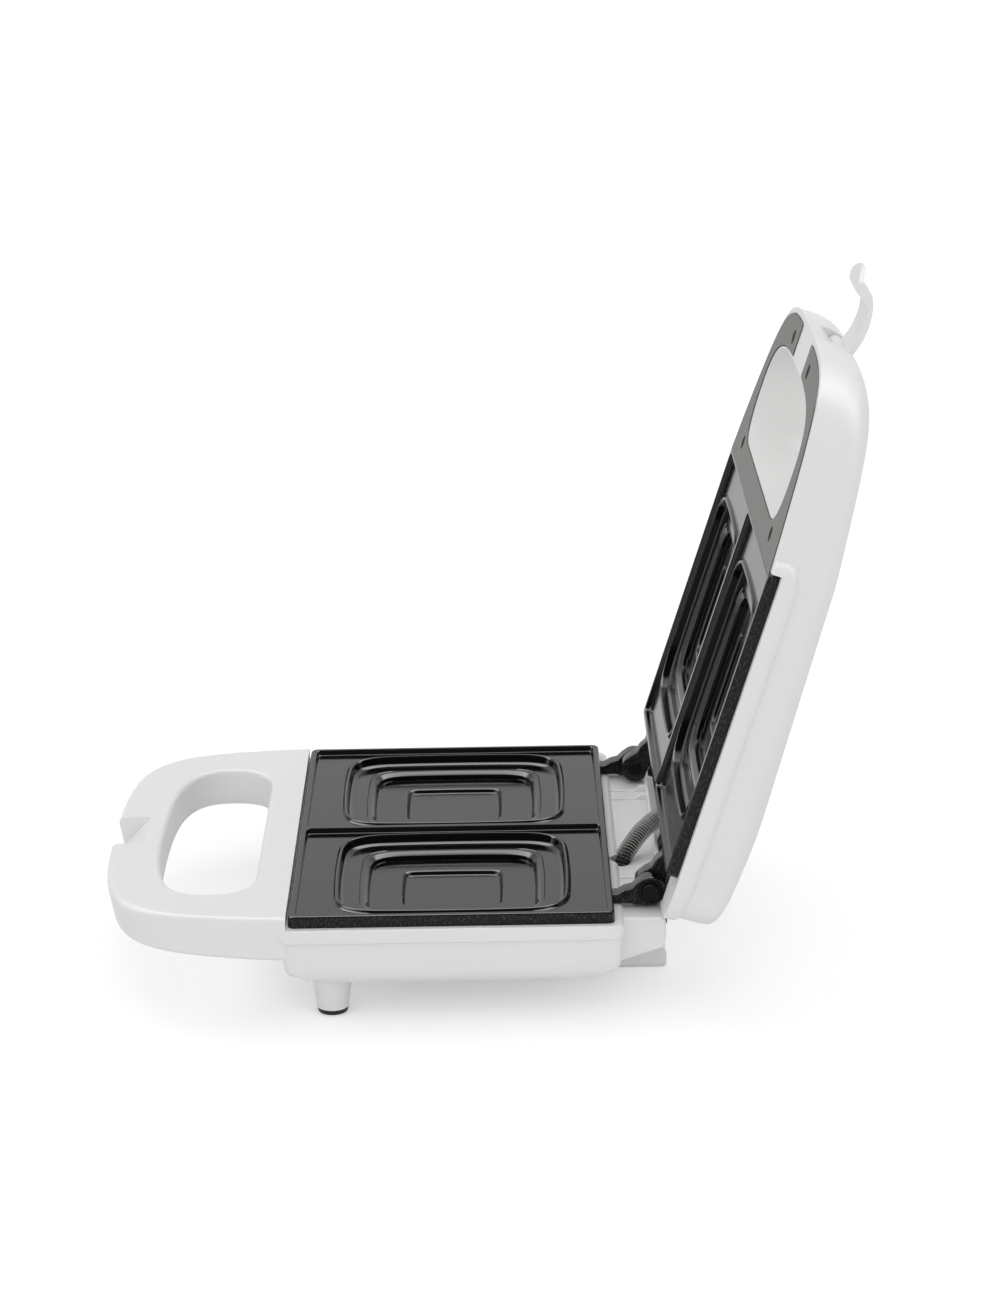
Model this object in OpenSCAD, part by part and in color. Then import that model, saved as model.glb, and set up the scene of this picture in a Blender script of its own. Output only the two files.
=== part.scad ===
// Sandwich toaster with two hinged, non-stick hot plates and a swing latch.
// Every piece is first placed in the closed toaster: X runs across, Y runs from
// the front edge of the plates to the back, and Z is zero where the plates meet.
// in_base, in_lid and in_latch then put it in the part's own frame, lid open.

/* [Hot plates] */
// Width of each hot plate
plate_w = 220; // [200:1:250]
// Depth of each hot plate, front to back
plate_d = 136; // [128:1:160]
// Wall thickness of the castings
cast_t = 2.7; // [2.2:0.1:3.2]
// Height of the rim and of the divider above the plate's flat
rim_h = 2.4; // [1.8:0.1:3]
// Width of the rim
rim_w = 3; // [2:0.1:4]
// Gap between the two rims when the lid is shut
rim_gap = 0.6; // [0.4:0.1:1.2]
// Radius of the plates' corners
plate_r = 3; // [1.5:0.5:6]
// Spread of the castings' drafted edges beyond that size
plate_edge = 1; // [0.4:0.1:1.6]
// Width of the divider between the pockets
divider_w = 4.6; // [3:0.2:6]

/* [Sandwich pockets] */
// Size of a pocket across its lip
pocket_size = 102; // [90:1:106]
// Land between the divider and a pocket
pocket_land = 1; // [0.5:0.5:3]
// Corner radius of a pocket
pocket_r = 26; // [18:1:30]
// Depth of the pocket's lip below the rim
lip_z = 4; // [3.5:0.1:4.4]
// Inset of the outer step from the lip
step1_inset = 2; // [1:0.5:4]
// Depth of the outer step below the rim
step1_z = 7.2; // [6.5:0.1:8]
// Size of the middle step
step2_size = 75; // [60:1:80]
// Corner radius of the middle step
step2_r = 13; // [8:1:20]
// Depth of the middle step below the rim
step2_z = 9.6; // [8.6:0.1:10.4]
// Size of the inner step
step3_size = 43; // [30:1:52]
// Corner radius of the inner step
step3_r = 6; // [3:1:10]
// Depth of the inner step below the rim
step3_z = 11.7; // [10.6:0.1:12.4]

/* [Hinge] */
// Distance of the hinge axis behind the plates
hinge_back = 16.5; // [15:0.5:20]
// Distance of each hinge's parting plane from the middle
hinge_x = 80; // [70:1:86]
// Width of a hinge lug
lug_w = 8; // [6:0.5:10]
// Radius of a hinge knuckle
knuckle_r = 6.4; // [5.5:0.1:6.8]
// Radius of the hinge pins
pin_r = 2.2; // [1.8:0.1:2.6]
// Running clearance round a pin
pin_clear = 0.05; // [0.02:0.01:0.1]
// Angle that the lid stands open
lid_open = 108; // [95:1:110]

/* [Housings] */
// Wall thickness of the mouldings
wall = 2.4; // [1.8:0.1:3]
// Width of the frame outside the plates' edges
frame_side = 4.4; // [3:0.1:6]
// Height of the frame band round each plate
band_h = 6.4; // [5:0.2:8]
// Depth of the base tub below the plates' meeting plane
tub_h = 34.5; // [33:0.5:42]
// Height of the lid's crown above the plates' meeting plane
crown_h = 36.5; // [36:0.5:44]
// Height of the meeting plane above the table
stand_h = 50; // [47:0.5:60]
// Width of the moulded stand at the back
stand_w = 102; // [70:1:110]
// Width of the shelf under the hinges
shelf_w = 200; // [190:1:206]
// Height of the black foot pads
pad_h = 2.4; // [1.6:0.2:4]
// Radius of the black foot pads
pad_r = 6.6; // [5:0.2:8]
// Distance of the front feet from the middle
foot_x = 92.5; // [80:0.5:98]
// Distance of the front feet behind the plates' front edge
foot_y = 16.5; // [14:0.5:30]

/* [Handles] */
// Reach of the base handle in front of the plates
base_reach = 84; // [74:1:100]
// Thickness of the base handle
base_handle_t = 17; // [15:0.5:20]
// Depth of the base handle's front bar
base_bar = 23.1; // [20:0.1:28]
// Width of the base handle's arms
base_arm = 33.8; // [28:0.2:40]
// Depth of the web between the base's hand-hole and its plate
base_web = 16.8; // [14:0.2:22]
// Reach of the lid handle in front of the plates
lid_reach = 82.7; // [72.7:1:98.7]
// Depth of the lid handle's front bar
lid_bar = 18.4; // [17:0.1:24]
// Width of the lid handle's arms
lid_arm = 26.8; // [22:0.2:34]
// Depth of the web between the lid's hand-hole and its plate
lid_web = 13.6; // [12.6:0.2:18]
// Thickness of the panel that closes the lid handle
panel_t = 2; // [1.5:0.1:3]

/* [Latch] */
// Width of the latch
latch_w = 30; // [24:1:32]
// Thickness of the latch strip
latch_t = 2.2; // [1.8:0.1:2.6]
// Swing of the latch from hanging out to clipped
latch_swing = 80; // [78:1:82]
// Distance of the latch pivot behind the lid handle's front
pivot_in = 5.7; // [5:0.1:7]
// Height of the latch pivot above the meeting plane
pivot_h = 15; // [14:0.2:15.6]
// Radius of the latch pin
latch_pin_r = 1.5; // [1.2:0.1:1.7]

/* [Electrical parts] */
// Radius of the tubular heating elements
heater_r = 3.3; // [3:0.1:3.6]
// Thickness of the reflector trays
reflector_t = 0.8; // [0.6:0.1:1.2]
// Radius of the sprung conduit
conduit_r = 4.2; // [3.8:0.1:4.4]
// Bore radius of the mains lead's gland
gland_r = 3.4; // [3:0.1:3.8]
// Radius of the indicator lenses
lens_r = 4; // [3:0.2:5]

/* [Hidden] */

$fn = 64;
skin_fn = 32;
eps = 0.01;
fit = 0.3;          // clearance between pieces that are dropped together
seat_fit = 0.05;    // clearance of a part in its own seat

// Plates
half_gap = rim_gap / 2;
flat_z = half_gap + rim_h;
slab_z = flat_z + cast_t;
pocket_x = divider_w / 2 + pocket_land + pocket_size / 2;
pocket_y = plate_d / 2;
step1_size = pocket_size - 2 * step1_inset;
step1_r = pocket_r - step1_inset;
hinge_y = plate_d + hinge_back;
hinge_play = 0.3;   // gap between the two lugs of a hinge
boss_x = pocket_x + 31;
boss_y = 9;         // distance of a plate's bosses from its front and back edges
boss_r = 4.2;
boss_z = 17.2;      // depth of the bosses' ends below the meeting plane
screw_r = 1.75;
pilot_r = screw_r + seat_fit;
ear_x = [55, 50];   // places of the front and back ears of the upper plate
ear_reach = 9;
ear_hole_in = 5;
ear_w = 12;
ear_t = 2.8;
ear_seat = 1.2;     // thickness left under an ear screw's head
small_r = 1.5;      // radius of the small screws
small_head_r = 2.9;
small_head_h = 1.6;

// Housings
frame_half = plate_w / 2 + frame_side;
band_z = slab_z + band_h;
band_front = -7;
band_back = plate_d + 5;
band_r = 5;
seat_in = 3;        // how far a plate rests on its frame
tub_half = frame_half - 2;
tub_front = -3;
tub_back = plate_d + 3.5;
tub_r = 6;
handle_gap = plate_edge + 0.5;  // where the handles begin in front of the plates
shelf_z = knuckle_r + 1.1;
shelf_front = plate_d + 1;
shelf_back = hinge_y + 6;
stand_front = plate_d + 1;
stand_back = hinge_y + 8.5;
floor_boss_r = 6.4;
floor_boss_z = boss_z + reflector_t;
counter_r = 4;
counter_z = 24.5;
head_r = 3.6;
head_h = 2.2;
cover_t = 2;
front_draft = 3;    // how far the base handle's front slopes back
root_drop = 2.5;    // how much deeper the base handle is at its root

// Lid
lid_half = plate_w / 2 + 0.5;
lid_back = hinge_y + 3;
lid_root_half = plate_w / 2 - 0.2;
rear_window = 68;   // half width of the opening behind the upper plate
panel_in = 2.3;     // margin of the white moulding round the panel
panel_proud = 0.5;  // how far the panel stands out of the moulding
panel_screw_front = [35.3, -70.8];
panel_screw_back = [lid_root_half - 29.6, -9.6];
panel_boss_r = 4.6;
panel_boss_z = 7;
panel_sink_r = 3.3;
panel_seat_z = 5;

// Latch, measured from its pivot with the latch hanging out: forwards, then up
strip_c = [16, -26.7];
strip_r = 34;
barrel_r = 3.6;
catch_root = [24.5, 3.5];
catch_tip = [29, -3];
elbow = 28.6;
hook_edge = [catch_root, catch_tip, [32, -3.4], [36, -3.2], [38.8, -2.2], [39, -0.9],
    [38.2, -0.5], [35.5, -1.1], [33.6, -0.7], [31.6, 1.4],
    [elbow, strip_c[1] + sqrt(pow(strip_r, 2) - pow(elbow - strip_c[0], 2))]];
tongue_r = 21.75;   // radius of the latch's rounded end
tongue_end = 39;
catch_gap = 0.3;
notch_half = latch_w / 2 + 2.1;
recess_half = latch_w / 2 + 5.6;
slot_half = latch_w / 2 + 0.6;
recess_back = lid_reach - 18.6;
recess_z = half_gap + panel_proud;
cheek_t = 2.2;
ramp_top = 15;      // run of the ramp in the base handle
pivot_y = -lid_reach + pivot_in;

// Electrical parts
heater_z = step1_z + cast_t + heater_r + seat_fit;
heater_half = step2_size / 2 + cast_t + heater_r + 1.2;
heater_bend = 14;
heater_end = plate_d - 15;
terminal_r = 1.2;
terminal_end = heater_end + 8;
lamp_y = 8;
lamp_x = 14;
lamp_seat_z = crown_h - 10.5;
lens_top = crown_h - 3;
thermostat_r = 8;
thermostat_arm = 12;
conduit_root = [32.5, plate_d + 5.5, -11];
gland_x = 72;
gland_z = 14.5;
block_x = 20;
block_y = plate_d - 30;
block_size = [36, 12, 8];
block_top = 19.5;

// Where the part stands: its middle over the origin, its feet on the XY plane
latch_back = in_lid_y([pivot_y - strip_c[0] + strip_r * cos(105),
    pivot_h + strip_c[1] + strip_r * sin(105)]);
origin_y = (latch_back - base_reach) / 2;

// Places of the open lid, given as places in the closed toaster
function in_lid_y(p) = hinge_y + (p[0] - hinge_y) * cos(lid_open) + p[1] * sin(lid_open);

function in_lid_z(p) = p[1] * cos(lid_open) - (p[0] - hinge_y) * sin(lid_open);
stop_y = in_lid_y([lid_back, slab_z]);
stop_z = in_lid_z([lid_back, slab_z]) - 0.15;
stop_x = [50, 61.5];
stop_w = 2.5;

// Where the catch lies when the latch is clipped, as a place in the closed toaster
function clipped(p) = [pivot_y - p[0] * cos(latch_swing) - p[1] * sin(latch_swing),
    pivot_h - p[0] * sin(latch_swing) + p[1] * cos(latch_swing)];
catch_a = clipped(catch_root);
catch_b = clipped(catch_tip);
lip_share = 0.62;
lip = catch_a + (catch_b - catch_a) * lip_share + [1, 1] / sqrt(2) * catch_gap;

module in_base() {
    translate([0, -origin_y, stand_h]) children();
}

module in_lid() {
    in_base() translate([0, hinge_y, 0]) rotate([-lid_open, 0, 0])
        translate([0, -hinge_y, 0]) children();
}

module in_latch() {
    in_lid() translate([0, pivot_y, pivot_h]) children();
}

// ---- Curves and shared shapes ----

function bezier(p, t) = pow(1 - t, 3) * p[0] + 3 * pow(1 - t, 2) * t * p[1]
    + 3 * (1 - t) * pow(t, 2) * p[2] + pow(t, 3) * p[3];
function curve(p, n = 16) = [for (i = [0:n]) bezier(p, i / n)];
function both_sides(pts) = concat(pts, [for (i = [len(pts) - 1:-1:0]) [-pts[i][0], pts[i][1]]]);

// Plan of the base handle, narrowed all round by inset and shortened by draft
module base_handle_plan(inset = 0, draft = 0, root = -handle_gap) {
    half = frame_half - inset;
    front = -base_reach + inset + draft;
    polygon(both_sides(curve([[0, front], [half - 15.4, front], [half - 5.7, front + 7],
        [half, root]])));
}

// Plan of the lid handle
module lid_handle_plan(inset = 0, root = -handle_gap) {
    half = lid_root_half - inset;
    front = -lid_reach + inset;
    polygon(both_sides(curve([[0, front], [half - 25.7, front], [half - 20.3, front + 0.4],
        [half, root]])));
}

// Plan of a hand-hole: an arched front and a straight back with round corners
module hand_hole_plan(half, front, back, grow = 0) {
    h = half + grow;
    f = front - grow;
    b = back + grow;
    m = (front + back) / 2 + 2;
    polygon(both_sides(concat(curve([[0, f], [h * 0.75, f], [h, f + 5], [h, m]]),
        curve([[h, m], [h, b - 7], [h - 7, b], [h - 22, b]]))));
}

module base_hole_plan(grow = 0) {
    hand_hole_plan(frame_half - base_arm, -base_reach + base_bar, -base_web, grow);
}

module lid_hole_plan(grow = 0) {
    hand_hole_plan(lid_root_half - lid_arm, -lid_reach + lid_bar, -lid_web, grow);
}

// Rectangle with true round corners
module round_rect(w, d, r) {
    square([w - 2 * r, d], center = true);
    square([w, d - 2 * r], center = true);
    for (sx = [-1, 1], sy = [-1, 1])
        translate([sx * (w / 2 - r), sy * (d / 2 - r)]) circle(r);
}

// Round rectangle between two Y values
module plan_rect(half, y0, y1, r) {
    translate([0, (y0 + y1) / 2]) round_rect(2 * half, y1 - y0, r);
}

// A layer of a shape between two depths below the meeting plane
module below(z0, z1) {
    translate([0, 0, -z1]) linear_extrude(z1 - z0) children();
}

// A prism along X from a shape drawn in Y and Z
module along_x(x0, x1) {
    translate([x0, 0, 0]) rotate([90, 0, 90]) linear_extrude(x1 - x0) children();
}

module on_both_sides() {
    children();
    mirror([1, 0, 0]) children();
}

module plate_boss_places() {
    for (sx = [-1, 1], y = [boss_y, plate_d - boss_y]) translate([sx * boss_x, y, 0]) children();
}

// A panhead screw that points up, with its head below z = 0
module screw(r, length, head, head_height) {
    translate([0, 0, -head_height / 3]) cylinder(r = r, h = length + head_height / 3);
    translate([0, 0, -head_height]) difference() {
        cylinder(r = head, h = head_height);
        for (a = [0, 90]) rotate([0, 0, a])
            cube([head * 1.1, head * 0.28, head_height], center = true);
    }
}

// Tube along points chosen by hand, smoothed, closed at both ends
function spline(p, i, t) = let (a = p[max(i - 1, 0)], b = p[i], c = p[i + 1],
    d = p[min(i + 2, len(p) - 1)]) 0.5 * (2 * b + (c - a) * t
    + (2 * a - 5 * b + 4 * c - d) * pow(t, 2) + (3 * b - a - 3 * c + d) * pow(t, 3));
function smooth(p, n) = concat([for (i = [0:len(p) - 2], j = [0:n - 1]) spline(p, i, j / n)],
    [p[len(p) - 1]]);
function unit(v) = v / norm(v);
function heading(p, i) = unit(p[min(i + 1, len(p) - 1)] - p[max(i - 1, 0)]);
function ring(c, h, r, n) = let (u = unit(cross(h, [1, 1, 1])), v = cross(h, u))
    [for (k = [0:n - 1]) c + r * (u * cos(360 * k / n) + v * sin(360 * k / n))];
module tube(points, r, sides = 8, steps = 3) {
    path = smooth(points, steps);
    last = len(path) - 1;
    faces = concat([[for (k = [0:sides - 1]) k]],
        [for (i = [0:last - 1], k = [0:sides - 1]) [i * sides + k, (i + 1) * sides + k,
            (i + 1) * sides + (k + 1) % sides]],
        [for (i = [0:last - 1], k = [0:sides - 1]) [i * sides + k,
            (i + 1) * sides + (k + 1) % sides, i * sides + (k + 1) % sides]],
        [[for (k = [sides - 1:-1:0]) last * sides + k]]);
    polyhedron([for (i = [0:last]) each ring(path[i], heading(path, i), r, sides)], faces);
}

// ---- Castings, heaters and reflectors, drawn as the lower ones ----

module pocket_layers(grow, drop) {
    below(-eps, lip_z) round_rect(pocket_size, pocket_size, pocket_r);
    below(-eps, step1_z + drop)
        round_rect(step1_size + 2 * grow, step1_size + 2 * grow, step1_r + grow);
    below(-eps, step2_z + drop)
        round_rect(step2_size + 2 * grow, step2_size + 2 * grow, step2_r + grow);
    below(-eps, step3_z + drop)
        round_rect(step3_size + 2 * grow, step3_size + 2 * grow, step3_r + grow);
}

module at_pockets() {
    for (sx = [-1, 1]) translate([sx * pocket_x, pocket_y, 0]) children();
}

// Side of a hinge lug: the web from the plate's edge to the knuckle
module lug_side() {
    web_top = half_gap + 0.7;
    translate([hinge_y, 0]) circle(knuckle_r);
    polygon([[plate_d - 2, -slab_z], [plate_d - 2, -web_top], [plate_d + 1, -web_top],
        [hinge_y - knuckle_r * cos(55), knuckle_r * sin(55)], [hinge_y, 0],
        [hinge_y - 1, -knuckle_r + eps], [band_back + 1, -slab_z]]);
}

// One hot plate; lug_in is how near to the middle its lugs begin
module casting(lug_in) {
    difference() {
        union() {
            below(half_gap, slab_z)
                plan_rect(plate_w / 2 + plate_edge, -plate_edge, plate_d + plate_edge, plate_r);
            intersection() {
                at_pockets() pocket_layers(cast_t, cast_t);
                below(half_gap + 1, 2 * boss_z) square([plate_w - 2, 3 * plate_d], center = true);
            }
            plate_boss_places() translate([0, 0, -boss_z]) cylinder(r = boss_r, h = boss_z - slab_z + eps);
            on_both_sides() along_x(lug_in, lug_in + lug_w) lug_side();
        }
        for (sx = [-1, 1]) below(-1, flat_z)
            translate([sx * (plate_w / 2 - rim_w + divider_w / 2) / 2, plate_d / 2])
                square([plate_w / 2 - rim_w - divider_w / 2, plate_d - 2 * rim_w], center = true);
        at_pockets() pocket_layers(0, 0);
        plate_boss_places() translate([0, 0, -boss_z - 1]) cylinder(r = pilot_r, h = boss_z - slab_z - 1);
        translate([0, hinge_y, 0]) rotate([0, 90, 0])
            cylinder(r = pin_r + pin_clear, h = 2 * plate_w, center = true);
    }
}

// A leg of the heating element between two places, with or without a bend at its end
module heater_leg(x, y0, y1) {
    translate([x, y0, 0]) rotate([-90, 0, 0]) cylinder(r = heater_r, h = y1 - y0);
}

module heater_bend_at(x, y, a) {
    translate([x, y, 0]) rotate([0, 0, a]) rotate_extrude(angle = 90)
        translate([heater_bend, 0]) circle(heater_r);
}

// M-shaped tubular element with a contact pin at each end
module heating_element() {
    outer = pocket_x + heater_half;
    inner = pocket_x - heater_half;
    front = pocket_y - heater_half;
    back = pocket_y + heater_half;
    b = heater_bend;
    translate([0, 0, -heater_z]) on_both_sides() {
        heater_leg(outer, front + b, heater_end);
        heater_leg(inner, front + b, back - b / 2);
        heater_bend_at(outer - b, front + b, 270);
        heater_bend_at(inner + b, front + b, 180);
        translate([inner + b, front, 0]) rotate([0, 90, 0])
            cylinder(r = heater_r, h = outer - inner - 2 * b);
        translate([0, back - b / 2, 0]) rotate_extrude(angle = 90)
            translate([inner, 0]) circle(heater_r);
        translate([outer, heater_end, 0]) rotate([-90, 0, 0])
            cylinder(r = terminal_r, h = terminal_end - heater_end);
    }
}

// Sheet tray under the element, clamped between the plate's bosses and the housing's
module reflector(window_r) {
    lip_h = 3;
    half = plate_w / 2 - 5;
    difference() {
        below(boss_z - lip_h, boss_z + reflector_t) plan_rect(half, 4, plate_d - 4, 6);
        below(boss_z - lip_h - 1, boss_z)
            plan_rect(half - reflector_t, 4 + reflector_t, plate_d - 4 - reflector_t, 6 - reflector_t);
        plate_boss_places() translate([0, 0, -2 * boss_z]) cylinder(r = screw_r + fit, h = 2 * boss_z);
        on_both_sides() translate([pocket_x + heater_half - 10, heater_end - 4, -2 * boss_z])
            cube([30, 30, 2 * boss_z]);
        if (window_r > 0) translate([pocket_x, pocket_y, -2 * boss_z])
            cylinder(r = window_r, h = 2 * boss_z);
    }
}

// ---- Base ----

// The tub; inset shrinks it into the hollow inside its walls
module tub(inset = 0) {
    layers = [[band_z - 3, 0, tub_front, tub_back], [tub_h - 10.5, 0.4, tub_front, tub_back - 0.5],
        [tub_h - 7, 1, tub_front + 2, tub_back - 2], [tub_h - 2.4, 3.4, 30, plate_d - 17],
        [tub_h, 14, 52, plate_d - 42]];
    hull() for (l = layers)
        translate([0, 0, -l[0] + inset * (l[0] > band_z ? 1 : 0)]) linear_extrude(eps)
            offset(delta = -inset) plan_rect(tub_half - l[1], l[2], l[3], tub_r, $fn = skin_fn);
}

module base_handle(inset = 0, top = half_gap, root = -handle_gap) {
    deep = base_handle_t + root_drop - inset / 2;
    hull() {
        below(top, top + eps) base_handle_plan(inset, 0, root);
        below(base_handle_t, base_handle_t + eps) base_handle_plan(inset, front_draft, root);
        below(deep, deep + eps) intersection() {
            base_handle_plan(inset, front_draft, root);
            translate([-plate_w, -12]) square(2 * plate_w);
        }
    }
}

// Side of the shelf under the hinges
module shelf_side(inset = 0) {
    i = inset;
    polygon([[shelf_front - 4, -shelf_z - i], [shelf_back - 1.5 - i, -shelf_z - i],
        [shelf_back - i, -shelf_z - 2 - i * 0.5], [shelf_back - i, -shelf_z - 9],
        [shelf_back - 1.2 - i, -21 + i], [shelf_front - i * 0, -27.5 + i],
        [shelf_front - 4, -27.5 + i]]);
}

// Side of the ribs on the shelf, whose ends stop the open lid
module stop_side() {
    slope = tan(lid_open - 90);
    polygon([[shelf_front, -shelf_z - 1], [shelf_front, -shelf_z + 0.7],
        [stop_y - 5, -shelf_z + 0.7], [stop_y - 2, stop_z], [stop_y, stop_z],
        [shelf_back - 0.6, stop_z - (shelf_back - 0.6 - stop_y) * slope],
        [shelf_back - 0.6, -shelf_z - 1.5]]);
}

// Side of the stand, with the waist that a lead is wound on
module stand_side(inset = 0) {
    i = inset;
    polygon([[stand_front + i, -24], [shelf_back - 2 - i, -18], [shelf_back - 0.5 - i, -36],
        [stand_back - i, -stand_h + 6], [stand_back - i, -stand_h + i],
        [stand_front + i, -stand_h + i]]);
}

module latch_ramp_side() {
    t = 2;
    top_y = -base_reach + ramp_top;
    polygon([[top_y, -half_gap], [lip[0], lip[1]], [lip[0] + 1.4 * t, lip[1]],
        [top_y + 1.4 * t, -half_gap]]);
}

module under_ramp_side() {
    back = -base_reach + ramp_top + 2.2;
    polygon([[lip[0], lip[1] - eps], [lip[0] + 2.8, lip[1] - eps], [back, -wall - 3],
        [back, -stand_h], [lip[0] - 5, -stand_h]]);
}

module latch_notch_side() {
    top_y = -base_reach + ramp_top;
    far = -base_reach - 5;
    polygon([[top_y, -half_gap], [top_y, 5], [far, 5], [far, -base_handle_t - 5],
        [lip[0], -base_handle_t - 5], [lip[0], lip[1]]]);
}

module cover_screw_places() {
    for (sx = [-1, 1]) {
        translate([sx * 40, -base_reach + 11.5, 0]) children();
        translate([sx * (frame_half - 14), -12, 0]) children();
    }
}

module foot_posts() {
    on_both_sides() translate([foot_x, foot_y, -stand_h + pad_h])
        cylinder(r1 = pad_r + 0.2, r2 = pad_r + 3, h = stand_h - pad_h - tub_h + 8);
}

module base_housing() color("#f3f3f2") in_base() difference() {
    union() {
        difference() {
            union() {
                base_handle();
                below(slab_z, band_z) plan_rect(frame_half, band_front, band_back, band_r);
                tub();
                along_x(-shelf_w / 2, shelf_w / 2) shelf_side();
                along_x(-stand_w / 2, stand_w / 2) stand_side();
                foot_posts();
                on_both_sides() for (x = stop_x) along_x(x, x + stop_w) stop_side();
            }
            tub(wall);
            below(slab_z - 1, band_z) plan_rect(plate_w / 2 - seat_in, seat_in, plate_d - seat_in, 6);
            difference() {
                base_handle(wall, half_gap + wall, -handle_gap - wall);
                below(0, stand_h) base_hole_plan(wall);
                along_x(-notch_half - cheek_t, notch_half + cheek_t)
                    polygon([[-base_reach - 5, 0], [-base_reach + ramp_top + 3, 0],
                        [-base_reach + ramp_top + 3, -stand_h], [-base_reach - 5, -stand_h]]);
                cover_screw_places() translate([0, 0, -stand_h]) cylinder(r = 4, h = stand_h);
            }
            below(base_handle_t - cover_t, base_handle_t + 2 * root_drop)
                offset(delta = -wall / 2) base_handle_plan(0, front_draft, -handle_gap - wall);
            along_x(-shelf_w / 2 + wall, shelf_w / 2 - wall) shelf_side(wall);
            along_x(-stand_w / 2 + wall, stand_w / 2 - wall) stand_side(wall);
        }
        along_x(-notch_half, notch_half) latch_ramp_side();
        intersection() {
            tub();
            union() {
                plate_boss_places() translate([0, 0, -tub_h - 1])
                    cylinder(r = floor_boss_r, h = tub_h + 1 - floor_boss_z);
                translate([block_x, block_y, -tub_h]) translate([-20, -8, 0])
                    cube([40, 16, tub_h - block_top - block_size[2]]);
            }
        }
    }
    below(-5, stand_h) base_hole_plan();
    along_x(-notch_half, notch_half) latch_notch_side();
    along_x(-notch_half, notch_half) under_ramp_side();
    plate_boss_places() {
        translate([0, 0, -stand_h]) cylinder(r = counter_r, h = stand_h - counter_z);
        translate([0, 0, -stand_h]) cylinder(r = screw_r + fit, h = stand_h);
    }
    cover_screw_places() translate([0, 0, -stand_h]) cylinder(r = small_r + seat_fit, h = stand_h - 6);
    translate([gland_x, 0, -gland_z]) rotate([-90, 0, 0]) cylinder(r = 5 + seat_fit, h = 2 * plate_d);
    translate(conduit_root - [0, 0, 12]) cylinder(r = conduit_r + fit, h = 30);
    translate(conduit_root + [0, 0, 4]) rotate([0, 50, 135]) cylinder(r = conduit_r + 1, h = 30);
}

module base_handle_cover() color("#eeeeed") in_base() difference() {
    below(base_handle_t - cover_t + seat_fit, base_handle_t)
        offset(delta = -wall / 2 - fit) base_handle_plan(0, front_draft, -handle_gap - wall);
    below(-5, stand_h) base_hole_plan(fit);
    along_x(-notch_half - cheek_t, notch_half + cheek_t)
        polygon([[-base_reach - 5, 0], [-base_reach + ramp_top + 3.4, 0],
            [-base_reach + ramp_top + 3.4, -stand_h], [-base_reach - 5, -stand_h]]);
    cover_screw_places() translate([0, 0, -stand_h]) cylinder(r = small_r + fit, h = stand_h);
}

module base_cover_screws() color("silver") in_base() cover_screw_places()
    translate([0, 0, -base_handle_t]) screw(small_r, 9, small_head_r, small_head_h);

module front_foot_pads() color("#1b1b1b") in_base() on_both_sides()
    translate([foot_x, foot_y, -stand_h]) {
        cylinder(r1 = pad_r - 1, r2 = pad_r, h = 1);
        translate([0, 0, 1]) cylinder(r = pad_r, h = pad_h - 1);
    }

module lower_plate() color("#3a3a39") in_base() casting(hinge_x + hinge_play);

module lower_heater() color("#6b6b66") in_base() heating_element();

module lower_reflector() color("#c9c9c6") in_base() reflector(0);

module lower_plate_screws() color("silver") in_base() plate_boss_places()
    translate([0, 0, -counter_z]) screw(screw_r, counter_z - slab_z - 2.5, head_r, head_h);

module hinge_pins() color("silver") in_base() on_both_sides()
    translate([hinge_x - lug_w - 1, hinge_y, 0]) rotate([0, 90, 0]) {
        cylinder(r = pin_r, h = 2 * lug_w + 1 + hinge_play + 0.6);
        translate([0, 0, 2 * lug_w + 1 + hinge_play + 0.4]) cylinder(r = pin_r + 1.6, h = 1.4);
        cylinder(r = pin_r + 1, h = 0.8);
    }

module terminal_block() color("#efe9dc") in_base() translate([block_x, block_y, -block_top - block_size[2]])
    difference() {
        translate([-block_size[0] / 2, -block_size[1] / 2, 0]) cube(block_size);
        for (k = [-1:1]) {
            translate([12 * k, 0, block_size[2] / 2]) rotate([90, 0, 0])
                cylinder(r = 1.8, h = 2 * block_size[1], center = true);
            translate([12 * k, 0, block_size[2] / 2]) cylinder(r = 1.5, h = block_size[2]);
        }
    }

module cord_gland() color("#2a2a2a") in_base() translate([gland_x, shelf_back - wall - 1.5, -gland_z])
    rotate([-90, 0, 0]) difference() {
        union() {
            cylinder(r = 5, h = wall + 1.5);
            translate([0, 0, wall + 1.5]) cylinder(r = 6.2, h = 1.5);
        }
        translate([0, 0, -1]) cylinder(r = gland_r, h = wall + 6);
    }

module thermal_fuse() color("#b9a05a") in_base()
    translate([-pocket_x, pocket_y, -floor_boss_z - 2 - seat_fit]) rotate([0, 90, 0]) {
        cylinder(r = 2, h = 12, center = true);
        cylinder(r = 0.6, h = 30, center = true);
    }

wire_r = 1.3;
wire_x = pocket_x + heater_half;

// A wire from a heater's pin, down behind it and along the housing
module base_wire(side, block_pole) {
    tube([[side * wire_x, terminal_end + seat_fit, -heater_z],
        [side * wire_x, terminal_end + 3, -heater_z - 0.6],
        [side * (wire_x - 0.5), terminal_end + 3.4, -heater_z - 5.5],
        [side * (wire_x - 2), terminal_end - 5, -24.2], [side * 92, block_y + 9, -24.6],
        [side * 64, block_y + 10, -25.2], [block_pole + side * 7, block_y + 12, -24.6],
        [block_pole, block_y + block_size[1] / 2 + 0.4, -block_top - block_size[2] / 2]], wire_r);
}

module base_wires() color("#e8e2d2") in_base() {
    base_wire(1, block_x + 12);
    base_wire(-1, block_x - 12);
}

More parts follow.
